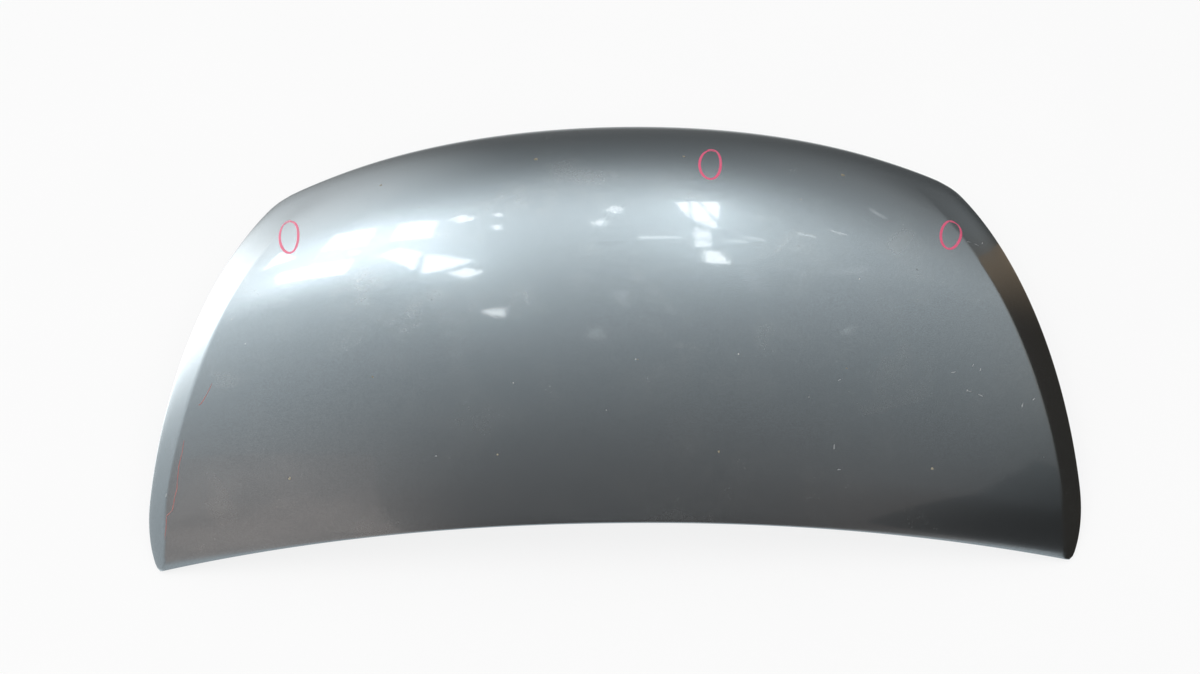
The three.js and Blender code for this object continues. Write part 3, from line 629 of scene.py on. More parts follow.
# Height in millimetres of the middle of each CAD piece over its seat, and of the striker's seat over
# the top of its plate
seatHeights = {"hinge": -2.6, "buffer": -3.9, "socket": -4.4, "striker": 1.2}
sides = ("left", "right")
hingeSeats = {side: seatOf(f"hinge_reinforcement_{side}", seatHeights["hinge"]) for side in sides}
bufferNames = [f"{place}_{side}" for place in ("front", "side") for side in sides]
bufferSeats = {name: seatOf(f"buffer_{name}", seatHeights["buffer"]) for name in bufferNames}
socketSeat = seatOf("prop_rod_socket", seatHeights["socket"])
strikerLow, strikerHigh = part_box("striker_plate")
strikerTop = strikerHigh[2] + seatHeights["striker"] * mm
strikerSeat = Seat((0.0, (strikerLow[1] + strikerHigh[1]) / 2, strikerTop), (0.0, 0.0, 1.0))

# Pads pressed into the channel floor: size, depth, corner radius and width of their walls, and the cuts
# that make the mesh finer there
pads = {
    "hinge": {"width": 46.0, "length": 112.0, "depth": 4.0, "radius": 10.0, "wall": 7.0, "cuts": 3},
    "socket": {"width": 34.0, "length": 50.0, "depth": 4.0, "radius": 10.0, "wall": 7.0, "cuts": 3},
    "striker": {"width": 104.0, "length": 54.0, "depth": 0.0, "radius": 12.0, "wall": 11.0, "cuts": 7},
}
padMargin = 20.0
padReach = 90.0
padSmoothing = 4


def padArea(mesh, seat, pad):
    reach = np.array([pad["width"] / 2, pad["length"] / 2]) + pad["wall"] + padMargin
    places = seat.local(np.array([vertex.co for vertex in mesh.verts]))
    near = (np.abs(places[:, :2]) < reach).all(axis=1) & (np.abs(places[:, 2]) < padReach)
    return places, near


def pressPad(piece, seat, pad):
    mesh = bmesh.new()
    mesh.from_mesh(piece.data)
    inside = set(np.flatnonzero(padArea(mesh, seat, pad)[1]))
    edges = [edge for edge in mesh.edges if all(vertex.index in inside for vertex in edge.verts)]
    bmesh.ops.subdivide_edges(mesh, edges=edges, cuts=pad["cuts"], use_grid_fill=True)
    mesh.verts.ensure_lookup_table()
    places, near = padArea(mesh, seat, pad)
    corner = np.abs(places[:, :2]) - np.array([pad["width"], pad["length"]]) / 2 + pad["radius"]
    outside = np.linalg.norm(np.maximum(corner, 0.0), axis=1) + np.minimum(corner.max(axis=1), 0.0)
    pressed = 1.0 - softRamp(np.clip((outside - pad["radius"]) / pad["wall"], 0.0, 1.0))
    places[:, 2] = lerp(places[:, 2], -pad["depth"], pressed)
    for index in np.flatnonzero(near & (pressed > 0)):
        mesh.verts[index].co = seat.place(places[index])
    wall = [mesh.verts[index] for index in np.flatnonzero(near & (pressed > 0) & (pressed < 1))]
    for turn in range(padSmoothing):
        bmesh.ops.smooth_vert(mesh, verts=wall, factor=0.5, use_axis_x=True, use_axis_y=True, use_axis_z=True)
    mesh.to_mesh(piece.data)
    mesh.free()


# Loops in a seat's millimetres, joined into a closed body
def stack(name, seat, loops, hollow=False):
    surface = Surface()
    rings = [surface.loop(seat.place(loop)) for loop in loops]
    for lower, upper in zip(rings, rings[1:]):
        surface.bridge(lower, upper)
    if hollow:
        surface.bridge(rings[-1], rings[0])
    else:
        surface.faces += [tuple(rings[0][::-1]), tuple(rings[-1])]
    return makeMesh(name, surface.allPoints(), surface.faces)


ringSteps = 48
levelSteps = (12, 12, 5)
shadeAngles = {"fastener": 30, "moulded": 40, "bar": 50, "mastic": 80}


def ringLoop(radius, height, middle=(0.0, 0.0), steps=ringSteps):
    angle = np.arange(steps) * 2 * math.pi / steps
    x, y = middle[0] + radius * np.cos(angle), middle[1] + radius * np.sin(angle)
    return np.stack([x, y, np.full(steps, height)], -1)


def roundedLevel(width, length, radius, height):
    loop = roundedLoop(width / 2, length / 2, radius, *levelSteps)
    return np.column_stack([loop, np.full(len(loop), height)])


def cutHoles(piece, cutters):
    joined = joinPieces("cutter", cutters)
    cut = piece.modifiers.new("holes", "BOOLEAN")
    cut.operation = "DIFFERENCE"
    cut.solver = "EXACT"
    cut.object = joined
    bakeModifiers(piece)
    bpy.data.objects.remove(joined)


def joinPieces(name, parts):
    mesh = bmesh.new()
    for part in parts:
        mesh.from_mesh(part.data)
        bpy.data.objects.remove(part)
    joined = makeMesh(name, [], [])
    mesh.to_mesh(joined.data)
    mesh.free()
    return joined


# How far the cutters reach to each side of their seats, and the holes that they cut
cutReach = {"floor": 14.0, "striker": 5.0, "rib": 6.0, "plate": 8.0}
boltPlaces = {"hinge": [(0.0, -32.0), (0.0, 32.0)], "striker": [(-34.0, 0.0), (34.0, 0.0)]}
boltHole = 8.8
hingeHole = 9.0
socketHole = {"width": 13.8, "length": 28.8, "radius": 6.7, "bottom": -14.0, "top": 6.0}


def holeCutter(seat, diameter, x=0.0, y=0.0, reach=cutReach["floor"]):
    return stack("hole", seat, [ringLoop(diameter / 2, height, (x, y)) for height in (-reach, reach)])


def cutPanelHoles(piece):
    p, h = innerPressing, socketHole
    hinges = [(seat, place) for seat in hingeSeats.values() for place in boltPlaces["hinge"]]
    cutters = [holeCutter(seat, hingeHole, *place) for seat, place in hinges]
    cutters += [holeCutter(seat, boltHole) for seat in bufferSeats.values()]
    bolts = boltPlaces["striker"]
    cutters += [holeCutter(strikerSeat, boltHole, *place, cutReach["striker"]) for place in bolts]
    ends = (h["bottom"], h["top"])
    slot = [roundedLevel(h["width"], h["length"], h["radius"], height) for height in ends]
    cutters.append(stack("hole", socketSeat, slot))
    for column in (cellColumns, halfColumns, 3 * cellColumns):
        for share, diameter in ((0.5, p["ribHole"]), (1.0, p["crossingHole"]), (1.5, p["ribHole"])):
            u, v = framePlace(column, share * cellRows)
            seat = Seat(toFrame(floorPlace(u, v), fit), skinNormal(u, v))
            cutters.append(holeCutter(seat, diameter, reach=cutReach["rib"]))
    cutHoles(piece, cutters)


def makeInnerPanel():
    surface = makeInnerSurface()
    piece = makeMesh("innerPanel", toFrame(surface.allPoints(), fit), surface.faces)
    for seat in hingeSeats.values():
        pressPad(piece, seat, pads["hinge"])
    pressPad(piece, socketSeat, pads["socket"])
    pressPad(piece, strikerSeat, pads["striker"])
    giveThickness(piece, sheetMetal["innerThickness"], even=False)
    cutPanelHoles(piece)
    shade(piece, solidify["sharpAngle"])
    return piece


innerPanel = makeInnerPanel()
print("inner panel", len(innerPanel.data.polygons), "faces")

# Plates, nuts, bolts and the striker, in millimetres from the seat that carries each
plateSizes = {
    "hinge": {"width": 36.0, "length": 102.0, "radius": 7.5, "bottom": -3.6, "top": -1.6},
    "strikerInner": {"width": 94.0, "length": 44.0, "radius": 7.5, "bottom": 0.4, "top": 2.4},
    "striker": {"width": 92.0, "length": 46.0, "radius": 10.0, "bottom": -4.2, "top": -1.2},
}
edgeSoftness = 0.35


def makePlate(name, seat, size, holes):
    soft, low, high = edgeSoftness, size["bottom"], size["top"]
    loops = [
        roundedLevel(size["width"] - 2 * inset, size["length"] - 2 * inset, size["radius"] - inset, height)
        for inset, height in [(soft, low), (0.0, low + soft), (0.0, high - soft), (soft, high)]
    ]
    plate = stack(name, seat, loops)
    cutHoles(plate, [holeCutter(seat, diameter, x, y, cutReach["plate"]) for (x, y), diameter in holes])
    shade(plate, solidify["sharpAngle"])
    return plate


nutSizes = {
    "flats": 13.0,
    "height": 6.5,
    "flange": 8.1,
    "flangeThickness": 1.5,
    "flangeFall": 0.5,
    "edge": 0.3,
    "chamfer": 0.8,
    "mouth": 0.5,
    "pitch": 1.25,
    "threadDepth": 0.3,
    "threadStart": 0.3,
    "threadEnd": 0.4,
}
fastenerSteps = 72


def turnedLoop(radius, height):
    return ringLoop(radius, height, steps=fastenerSteps)


# A six-sided loop whose corners are cut back to a round limit
def hexLoop(flats, limit, height):
    angle = np.arange(fastenerSteps) * 2 * math.pi / fastenerSteps
    fromFlat = (angle + math.pi / 6) % (math.pi / 3) - math.pi / 6
    radius = np.minimum(flats / 2 / np.cos(fromFlat), limit)
    return np.stack([radius * np.cos(angle), radius * np.sin(angle), np.full(fastenerSteps, height)], -1)


def threadLoops(radius, bottom, top, pitch, depth):
    loops = []
    for turn in range(int((top - bottom) / pitch)):
        start = bottom + turn * pitch
        loops += [turnedLoop(radius, start), turnedLoop(radius - depth, start + pitch / 2)]
    return loops


def makeNut(name, seat, bore, bottom):
    n = nutSizes
    corner = n["flats"] / 2 / math.cos(math.pi / 6)
    top = bottom + n["height"]
    shoulder = bottom + n["flangeThickness"]
    loops = [
        turnedLoop(n["flange"] - n["edge"], bottom),
        turnedLoop(n["flange"], bottom + n["edge"]),
        turnedLoop(n["flange"], shoulder - n["flangeFall"]),
        hexLoop(n["flats"], corner, shoulder),
        hexLoop(n["flats"], corner, top - n["chamfer"]),
        hexLoop(n["flats"], n["flats"] / 2, top),
        turnedLoop(bore / 2 + n["mouth"], top),
    ]
    start, end = bottom + n["threadStart"], top - n["threadEnd"]
    loops += threadLoops(bore / 2, start, end, n["pitch"], -n["threadDepth"])[::-1]
    loops.append(turnedLoop(bore / 2 + n["mouth"], bottom))
    return stack(name, seat, loops, hollow=True)


# The dish in the head is given by insets from the flats and heights over its face
boltSizes = {
    "head": 5.3,
    "dish": [(1.6, 0.5), (1.2, 0.0), (0.2, 0.0)],
    "flange": 8.5,
    "flangeThickness": 1.5,
    "flangeFall": 0.5,
    "edge": 0.2,
    "shank": 4.0,
    "underHead": -4.6,
    "end": 11.3,
    "threadDepth": 0.45,
    "pointLength": 1.0,
    "pointInsets": (0.4, 1.2),
}


def makeBolt(name, seat):
    b, n = boltSizes, nutSizes
    head, flat = b["underHead"], n["flats"] / 2
    corner = flat / math.cos(math.pi / 6)
    low, shoulder = head - b["head"], head - b["flangeThickness"]
    point = b["end"] - b["pointLength"]
    loops = [hexLoop(n["flats"], flat - inset, low + height) for inset, height in b["dish"]]
    loops += [
        hexLoop(n["flats"], corner, low + n["chamfer"]),
        hexLoop(n["flats"], corner, shoulder),
        turnedLoop(b["flange"], shoulder + b["flangeFall"]),
        turnedLoop(b["flange"], head - b["edge"]),
        turnedLoop(b["flange"] - b["edge"], head),
        turnedLoop(b["shank"], head),
    ]
    loops += threadLoops(b["shank"], 0.0, point, n["pitch"], b["threadDepth"])
    loops += [turnedLoop(b["shank"] - inset, at) for inset, at in zip(b["pointInsets"], (point, b["end"]))]
    return stack(name, seat, loops)


# A round bar along a path, with a bead of weld where each end meets the plate
strikerBar = {
    "radius": 3.8,
    "half": 15.0,
    "bottom": -30.2,
    "top": -1.3,
    "bend": 8.0,
    "bendSteps": 10,
    "roundSteps": 32,
    "holeClearance": 1.2,
}
strikerWeld = {
    "foot": 6.6,
    "overlap": 0.2,
    "drop": 2.4,
    "height": 2.3,
    "steps": 6,
    "ripple": 0.35,
    "ripples": 11,
}


def makeWeld(y):
    b, w = strikerBar, strikerWeld
    slope = np.linspace(0.0, 1.0, w["steps"])
    radii = b["radius"] - w["overlap"] + (w["foot"] - b["radius"]) * slope ** 2
    heights = plateSizes["striker"]["bottom"] - w["drop"] + w["height"] * slope
    ripple = w["ripple"] * np.sin(np.arange(ringSteps) * 2 * math.pi / ringSteps * w["ripples"])[:, None]
    rings = [ringLoop(radius, height, (0.0, y)) for radius, height in zip(radii, heights)]
    lifts = [ripple * np.array([0.0, 0.0, share * (1 - share)]) for share in slope]
    return stack("weld", strikerSeat, [ring + lift for ring, lift in zip(rings, lifts)])


def makeStrikerLoop():
    b = strikerBar
    half, bend = b["half"], b["bend"]
    turn = np.linspace(0.0, math.pi / 2, b["bendSteps"])
    first = np.stack([-half + bend * (1 - np.cos(turn)), b["bottom"] + bend * (1 - np.sin(turn))], -1)
    path = np.vstack([[[-half, b["top"]]], first, first[::-1] * [-1, 1], [[half, b["top"]]]])
    ahead = np.gradient(path, axis=0)
    ahead /= np.linalg.norm(ahead, axis=1, keepdims=True)
    angle = np.arange(b["roundSteps"]) * 2 * math.pi / b["roundSteps"]
    across, aside = b["radius"] * np.cos(angle), b["radius"] * np.sin(angle)
    loops = [np.stack([across, y + aside * dz, z - aside * dy], -1) for (y, z), (dy, dz) in zip(path, ahead)]
    bar = stack("bar", strikerSeat, loops)
    loop = joinPieces("strikerLoop", [bar, makeWeld(-half), makeWeld(half)])
    shade(loop, shadeAngles["bar"])
    return loop


# Radius and height round a rubber buffer, from its face down past its collars to the tip of its stem
bufferProfile = [
    (0.01, -14.0), (2.2, -14.0), (3.0, -13.4), (4.2, -13.4), (5.0, -14.1), (8.2, -14.1), (9.4, -13.4),
    (10.2, -11.6), (9.6, -11.0), (9.6, -10.2), (10.5, -9.6), (10.6, -8.0), (9.9, -7.4), (9.9, -6.6),
    (10.8, -6.0), (10.9, -4.2), (10.2, -3.6), (10.2, -2.8), (11.0, -2.2), (11.0, -1.3), (4.0, -1.2),
    (4.0, 0.4), (6.0, 0.5), (5.8, 1.6), (5.0, 2.9), (3.6, 4.8), (2.4, 6.1), (0.01, 6.4),
]


def makeBuffer(name, seat):
    buffer = stack(name, seat, [ringLoop(radius, height) for radius, height in bufferProfile])
    shade(buffer, shadeAngles["moulded"])
    return buffer


# Socket of the prop rod: its slot, and how far outside the slot its wall stands at each height
socketSizes = {
    "width": 9.0,
    "length": 24.0,
    "endFlat": 0.1,
    "profile": [
        (0.5, -6.8), (4.6, -6.8), (5.0, -6.4), (5.0, -5.5), (4.7, -5.2), (2.0, -5.2), (2.0, -3.6),
        (3.0, -3.6), (3.2, -3.2), (2.2, -2.0), (0.4, -2.0), (0.0, -2.6), (0.0, -6.3),
    ],
}


def makeSocket():
    loops = []
    for grown, height in socketSizes["profile"]:
        width, length = socketSizes["width"] + 2 * grown, socketSizes["length"] + 2 * grown
        loops.append(roundedLevel(width, length, width / 2 - socketSizes["endFlat"], height))
    socket = stack("propRodSocket", socketSeat, loops, hollow=True)
    shade(socket, shadeAngles["moulded"])
    return socket


# Small builder for node trees
class NodeTree:
    def __init__(self, tree):
        self.tree = tree
        self.tree.nodes.clear()

    def add(self, kind, inputs=(), **settings):
        node = self.tree.nodes.new(kind)
        for key, value in settings.items():
            setattr(node, key, value)
        for key, value in dict(inputs).items():
            if isinstance(value, bpy.types.NodeSocket):
                self.tree.links.new(value, node.inputs[key])
            else:
                node.inputs[key].default_value = value
        return node

    def math(self, operation, first, second=0.0, third=0.0):
        return self.add("ShaderNodeMath", {0: first, 1: second, 2: third}, operation=operation).outputs[0]

    def between(self, value, low, high, start=0.0, end=1.0):
        inputs = {"Value": value, "From Min": low, "From Max": high, "To Min": start, "To Max": end}
        return self.add("ShaderNodeMapRange", inputs, interpolation_type="SMOOTHSTEP").outputs["Result"]

    def mixColour(self, share, first, second, blend="MIX"):
        node = self.add("ShaderNodeMix", {0: share, 6: first, 7: second}, data_type="RGBA", blend_type=blend)
        return node.outputs[2]


# A material's own tree, on the Object coordinates of its piece
class Shader(NodeTree):
    def __init__(self, name):
        self.material = bpy.data.materials.new(name)
        self.material.use_nodes = True
        super().__init__(self.material.node_tree)
        self.output = self.add("ShaderNodeOutputMaterial")
        self.place = self.add("ShaderNodeTexCoord").outputs["Object"]

    def noise(self, scale, detail=2.0, roughness=0.5):
        inputs = {"Vector": self.place, "Scale": scale, "Detail": detail, "Roughness": roughness}
        return self.add("ShaderNodeTexNoise", inputs).outputs["Fac"]

    # Soft patches: the noise, the two levels of it to spread between, and what they turn into
    def patches(self, noise, low, high, start=0.0, end=1.0):
        return self.between(self.noise(*noise), low, high, start, end)

    def cells(self, scale, output="Distance"):
        return self.add("ShaderNodeTexVoronoi", {"Vector": self.place, "Scale": scale}).outputs[output]

    def shaded(self, base, level):
        grey = self.add("ShaderNodeCombineColor", {0: level, 1: level, 2: level}).outputs[0]
        return self.mixColour(1.0, base, grey, "MULTIPLY")

    def bump(self, height, distance):
        inputs = {"Height": height, "Distance": distance, "Strength": 1.0}
        return self.add("ShaderNodeBump", inputs).outputs["Normal"]

    def grain(self, noise, depth):
        return self.bump(self.noise(*noise), depth)

    def show(self, surface):
        self.tree.links.new(surface.outputs[0], self.output.inputs["Surface"])
        return self.material

    def principled(self, **inputs):
        names = {key.replace("_", " "): value for key, value in inputs.items()}
        return self.show(self.add("ShaderNodeBsdfPrincipled", names))


# From the colour on a screen to the linear colour of a material
def colour(red, green, blue):
    shares = [value / 255 for value in (red, green, blue)]
    linear = [((share + 0.055) / 1.055) ** 2.4 if share > 0.04 else share / 12.92 for share in shares]
    return (*linear, 1.0)


# Mid grey metallic paint under clear coat, with dust, pale blotches of painted reflection mixed in with the
# dust, and small stone chips. Scales are per metre
bodyPaint = {
    "base": colour(120, 128, 133),
    "flakeScale": 2200.0,
    "flake": (0.1, 0.9, 0.82, 1.22),
    "metallic": 0.95,
    "roughness": 0.27,
    "dustRoughness": 0.5,
    "coatWeight": 1.0,
    "coatRoughness": 0.05,
    "peel": ((160.0, 1.0), 0.00002),
    "dustAndReflectionColour": colour(176, 176, 172),
    "dustAndReflectionAmount": 0.11,
    # Patches of painted reflection: pale blotches that share the dust's colour
    "paintedReflection": ((7.0, 5.0, 0.65), 0.45, 0.75),
    "grit": ((420.0, 3.0, 0.6), 0.5, 0.8),
    "gritShare": 0.6,
    "blotchScale": 7.0,
    "dustAndReflectionBlotches": (0.2, 0.8, 0.35, 1.0),
    "speckColour": colour(205, 206, 204),
    "speckScale": 26.0,
    "speckSize": 0.035,
    "speckCore": 0.6,
    "speckPatches": ((9.0, 1.0), 0.56, 0.6),
}


def makeBodyPaint():
    p = bodyPaint
    s = Shader("bodyPaint")
    metal = s.shaded(p["base"], s.between(s.cells(p["flakeScale"], "Color"), *p["flake"]))
    grit = s.math("MULTIPLY", s.patches(*p["grit"]), p["gritShare"])
    dustAndReflectionBlotches = s.between(s.cells(p["blotchScale"], "Color"), *p["dustAndReflectionBlotches"])
    # One pale mask of real dust and painted reflection: the grit is dust, the first patches are painted
    # reflection, and both are cut into blotches by the cells
    cloud = s.math("MULTIPLY", s.math("ADD", s.patches(*p["paintedReflection"]), grit), dustAndReflectionBlotches)
    dustAndReflection = s.math("MULTIPLY", cloud, p["dustAndReflectionAmount"])
    withDustAndReflection = s.mixColour(dustAndReflection, metal, p["dustAndReflectionColour"])
    core = p["speckSize"] * p["speckCore"]
    speckNear = s.between(s.cells(p["speckScale"]), core, p["speckSize"], 1.0, 0.0)
    speck = s.math("MULTIPLY", speckNear, s.patches(*p["speckPatches"]))
    roughness = s.between(s.math("ADD", dustAndReflection, speck), 0.0, 1.0, p["roughness"], p["dustRoughness"])
    return s.principled(
        Base_Color=s.mixColour(speck, withDustAndReflection, p["speckColour"]),
        Metallic=p["metallic"],
        Roughness=roughness,
        Coat_Weight=p["coatWeight"],
        Coat_Roughness=p["coatRoughness"],
        Coat_Normal=s.grain(*p["peel"]),
    )


bodyPaintMaterial = makeBodyPaint()
finishPiece(outerPanel, bodyPaintMaterial, "body_paint", "outer_panel")


# Satin coat on the pressed inner side, thinner than outside, with overspray and some grime
innerPaint = {
    "base": colour(124, 130, 134),
    "flakeScale": 1700.0,
    "flake": (0.1, 0.9, 0.86, 1.14),
    "grime": colour(70, 68, 63),
    "haze": ((6.0, 5.0, 0.65), 0.5, 0.78, 0.0, 0.35),
    "spots": ((90.0, 4.0, 0.6), 0.62, 0.74, 0.0, 0.35),
    "metallic": 0.75,
    "roughness": ((260.0, 3.0, 0.7), 0.3, 0.7, 0.36, 0.54),
    "coatWeight": 0.35,
    "coatRoughness": 0.18,
    "grain": ((240.0, 2.0), 0.00004),
}


def makeInnerPaint():
    p = innerPaint
    s = Shader("innerPaint")
    metal = s.shaded(p["base"], s.between(s.cells(p["flakeScale"], "Color"), *p["flake"]))
    dirt = s.math("MAXIMUM", s.patches(*p["haze"]), s.patches(*p["spots"]))
    return s.principled(
        Base_Color=s.mixColour(dirt, metal, p["grime"]),
        Metallic=p["metallic"],
        Roughness=s.patches(*p["roughness"]),
        Coat_Weight=p["coatWeight"],
        Coat_Roughness=p["coatRoughness"],
        Normal=s.grain(*p["grain"]),
    )


# Grey primer, sprayed a little unevenly, that shows bare steel at its scratches
primer = {
    "base": colour(92, 97, 101),
    "cloud": ((55.0, 3.0), 0.3, 0.7, 0.88, 1.08),
    "steel": colour(150, 150, 148),
    "worn": ((140.0, 6.0, 0.8), 0.68, 0.74),
    "metallic": (0.1, 0.9),
    "roughness": ((600.0, 2.0), 0.3, 0.7, 0.54, 0.7),
    "grain": ((1500.0, 2.0), 0.00002),
}


def makePrimer():
    s = Shader("primer")
    worn = s.patches(*primer["worn"])
    return s.principled(
        Base_Color=s.mixColour(worn, s.shaded(primer["base"], s.patches(*primer["cloud"])), primer["steel"]),
        Metallic=s.between(worn, 0.0, 1.0, *primer["metallic"]),
        Roughness=s.patches(*primer["roughness"]),
        Normal=s.grain(*primer["grain"]),
    )


# Zinc plate with the faint crystal patches and dulling of a used fastener
zincPlate = {
    "bright": colour(196, 195, 184),
    "dull": colour(138, 134, 120),
    "rust": colour(108, 66, 38),
    "crystalScale": 230.0,
    "crystalEdge": (0.05, 0.6),
    "crystalShare": 0.4,
    "cloud": ((80.0, 4.0, 0.6), 0.35, 0.68),
    "rusty": ((190.0, 6.0, 0.75), 0.7, 0.78, 0.0, 0.8),
    "metallic": (0.95, 0.1),
    "roughness": ((900.0, 2.0), 0.3, 0.7, 0.28, 0.44),
    "grain": ((700.0, 3.0), 0.00003),
}


def makeZinc():
    z = zincPlate
    s = Shader("zincPlate")
    crystals = s.between(s.cells(z["crystalScale"]), *z["crystalEdge"])
    faint = s.math("MULTIPLY", crystals, z["crystalShare"])
    dulled = s.mixColour(s.math("MAXIMUM", faint, s.patches(*z["cloud"])), z["bright"], z["dull"])
    rusty = s.patches(*z["rusty"])
    return s.principled(
        Base_Color=s.mixColour(rusty, dulled, z["rust"]),
        Metallic=s.between(rusty, 0.0, 1.0, *z["metallic"]),
        Roughness=s.patches(*z["roughness"]),
        Normal=s.grain(*z["grain"]),
    )


# Moulded black rubber with a matt bloom, and satin black plastic with a fine grain
moulded = {
    "faded": ((60.0, 4.0, 0.6), 0.4, 0.72, 0.0, 0.7),
    "sheen": ((500.0, 2.0), 0.3, 0.7),
    "grainDepth": 0.00004,
    "blackRubber": {
        "base": colour(30, 30, 31),
        "bloom": colour(64, 63, 60),
        "roughness": (0.71, 0.85),
        "grain": (900.0, 3.0, 0.6),
    },
    "blackPlastic": {
        "base": colour(26, 26, 28),
        "bloom": colour(48, 48, 50),
        "roughness": (0.43, 0.57),
        "grain": (2600.0, 3.0, 0.6),
    },
}


def makeMoulded(name):
    m = moulded[name]
    s = Shader(name)
    return s.principled(
        Base_Color=s.mixColour(s.patches(*moulded["faded"]), m["base"], m["bloom"]),
        Roughness=s.patches(*moulded["sheen"], *m["roughness"]),
        Normal=s.grain(m["grain"], moulded["grainDepth"]),
    )


# Expanded mastic with a skin that is wrinkled and slightly yellowed
masticSkin = {
    "pale": colour(150, 144, 126),
    "yellowed": colour(118, 110, 92),
    "yellowing": ((180.0, 4.0, 0.6), 0.35, 0.7),
    "wrinkles": (420.0, 4.0, 0.6),
    "wrinkleCells": 600.0,
    "wrinkleDepth": 0.0003,
    "roughness": 0.82,
}


def makeMasticSkin():
    m = masticSkin
    s = Shader("masticSkin")
    wrinkled = s.math("ADD", s.noise(*m["wrinkles"]), s.cells(m["wrinkleCells"]))
    return s.principled(
        Base_Color=s.mixColour(s.patches(*m["yellowing"]), m["pale"], m["yellowed"]),
        Roughness=m["roughness"],
        Normal=s.bump(wrinkled, m["wrinkleDepth"]),
    )


innerPaintMaterial = makeInnerPaint()
primerMaterial = makePrimer()
zincMaterial = makeZinc()
rubberMaterial = makeMoulded("blackRubber")
plasticMaterial = makeMoulded("blackPlastic")
masticMaterial = makeMasticSkin()
finishPiece(innerPanel, innerPaintMaterial, "inner_paint", "inner_panel")


# Bore of the weld nuts on the hinges, and how far below or above its seat each nut starts
nutPlaces = {"hingeBore": 8.0, "hinge": -1.2, "striker": 2.8}


def makeFittings():
    strikerHoles = [(place, boltHole) for place in boltPlaces["striker"]]
    barHole = 2 * strikerBar["radius"] + strikerBar["holeClearance"]
    barHoles = [((0.0, y), barHole) for y in (-strikerBar["half"], strikerBar["half"])]
    for side, seat in hingeSeats.items():
        holes = [(place, hingeHole) for place in boltPlaces["hinge"]]
        plate = makePlate(f"hingeReinforcement_{side}", seat, plateSizes["hinge"], holes)
        finishPiece(plate, primerMaterial, "primed_steel", f"hinge_reinforcement_{side}")
        for end, place in zip(("rear", "front"), boltPlaces["hinge"]):
            bore, start = nutPlaces["hingeBore"], nutPlaces["hinge"]
            nut = makeNut(f"hingeNut_{side}_{end}", seat.moved(*place), bore, start)
            shade(nut, shadeAngles["fastener"])
            finishPiece(nut, zincMaterial, "zinc_steel", f"hinge_nut_{side}_{end}")
    inner = makePlate("strikerReinforcement", strikerSeat, plateSizes["strikerInner"], strikerHoles)
    finishPiece(inner, primerMaterial, "primed_steel", "striker_reinforcement")
    plate = makePlate("strikerPlate", strikerSeat, plateSizes["striker"], strikerHoles + barHoles)
    finishPiece(plate, zincMaterial, "zinc_steel", "striker_plate")
    finishPiece(makeStrikerLoop(), zincMaterial, "zinc_steel", "striker_loop")
    for side, place in zip(sides, boltPlaces["striker"]):
        bolt = makeBolt(f"strikerBolt_{side}", strikerSeat.moved(*place))
        nut = makeNut(f"strikerNut_{side}", strikerSeat.moved(*place), boltHole, nutPlaces["striker"])
        for fastener, node in ((bolt, "striker_bolt"), (nut, "striker_nut")):
            shade(fastener, shadeAngles["fastener"])
            finishPiece(fastener, zincMaterial, "zinc_steel", f"{node}_{side}")
    for name, seat in bufferSeats.items():
        finishPiece(makeBuffer(f"buffer_{name}_rubber", seat), rubberMaterial, "rubber", f"buffer_{name}")
    finishPiece(makeSocket(), plasticMaterial, "plastic", "prop_rod_socket")


makeFittings()
print("fittings made")


# Mastic blobs on the lands, as instances of one blob that are squeezed to the gap they fill
masticBeads = {"width": 0.0102, "lumps": 0.16, "lumpScale": 3.0, "fineness": 4, "seed": 5}


def makeMasticTree():
    m = masticBeads
    tree = bpy.data.node_groups.new("masticBeads", "GeometryNodeTree")
    socket = tree.interface.new_socket
    socket("Geometry", in_out="INPUT", socket_type="NodeSocketGeometry")
    width = socket("Width", in_out="INPUT", socket_type="NodeSocketFloat")
    lumps = socket("Lumps", in_out="INPUT", socket_type="NodeSocketFloat")
    socket("Geometry", in_out="OUTPUT", socket_type="NodeSocketGeometry")
    g = NodeTree(tree)
    start = g.add("NodeGroupInput").outputs
    ball = g.add("GeometryNodeMeshIcoSphere", {"Radius": 0.5, "Subdivisions": m["fineness"]})
    noise = g.add("ShaderNodeTexNoise", {"Scale": m["lumpScale"]}).outputs["Color"]
    push = g.add("ShaderNodeVectorMath", {0: noise, "Scale": start["Lumps"]}, operation="SCALE")
    lumpy = g.add("GeometryNodeSetPosition", {"Geometry": ball.outputs["Mesh"], "Offset": push.outputs[0]})
    gap = g.add("GeometryNodeInputNamedAttribute", {"Name": "gap"}, data_type="FLOAT")
    size = g.add("ShaderNodeCombineXYZ", {0: start["Width"], 1: start["Width"], 2: gap.outputs[0]})
    turns = {"Max": (0.0, 0.0, 2 * math.pi), "Seed": m["seed"]}
    turn = g.add("FunctionNodeRandomValue", turns, data_type="FLOAT_VECTOR")
    blobs = {"Points": start["Geometry"], "Instance": lumpy.outputs[0]}
    blobs |= {"Rotation": turn.outputs[0], "Scale": size.outputs[0]}
    scatter = g.add("GeometryNodeInstanceOnPoints", blobs)
    real = g.add("GeometryNodeRealizeInstances", {0: scatter.outputs[0]})
    painted = g.add("GeometryNodeSetMaterial", {"Geometry": real.outputs[0], "Material": masticMaterial})
    g.add("NodeGroupOutput", {0: painted.outputs[0]})
    return tree, width.identifier, lumps.identifier


def makeMasticBeads():
    nodes = sorted(name for name in frame["nodes"] if name.startswith("mastic_"))
    boxes = [np.array([list(corner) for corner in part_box(name)]) for name in nodes]
    holder = makeMesh("masticBeads", [box.mean(axis=0) for box in boxes], [])
    heights = holder.data.attributes.new("gap", "FLOAT", "POINT")
    heights.data.foreach_set("value", [box[1][2] - box[0][2] for box in boxes])
    beads = holder.modifiers.new("beads", "NODES")
    beads.node_group, width, lumps = makeMasticTree()
    beads[width] = masticBeads["width"]
    beads[lumps] = masticBeads["lumps"]
    bakeModifiers(holder)
    shade(holder, shadeAngles["mastic"])
    finishPiece(holder, masticMaterial, "mastic", *nodes)


makeMasticBeads()
print("mastic beads made")
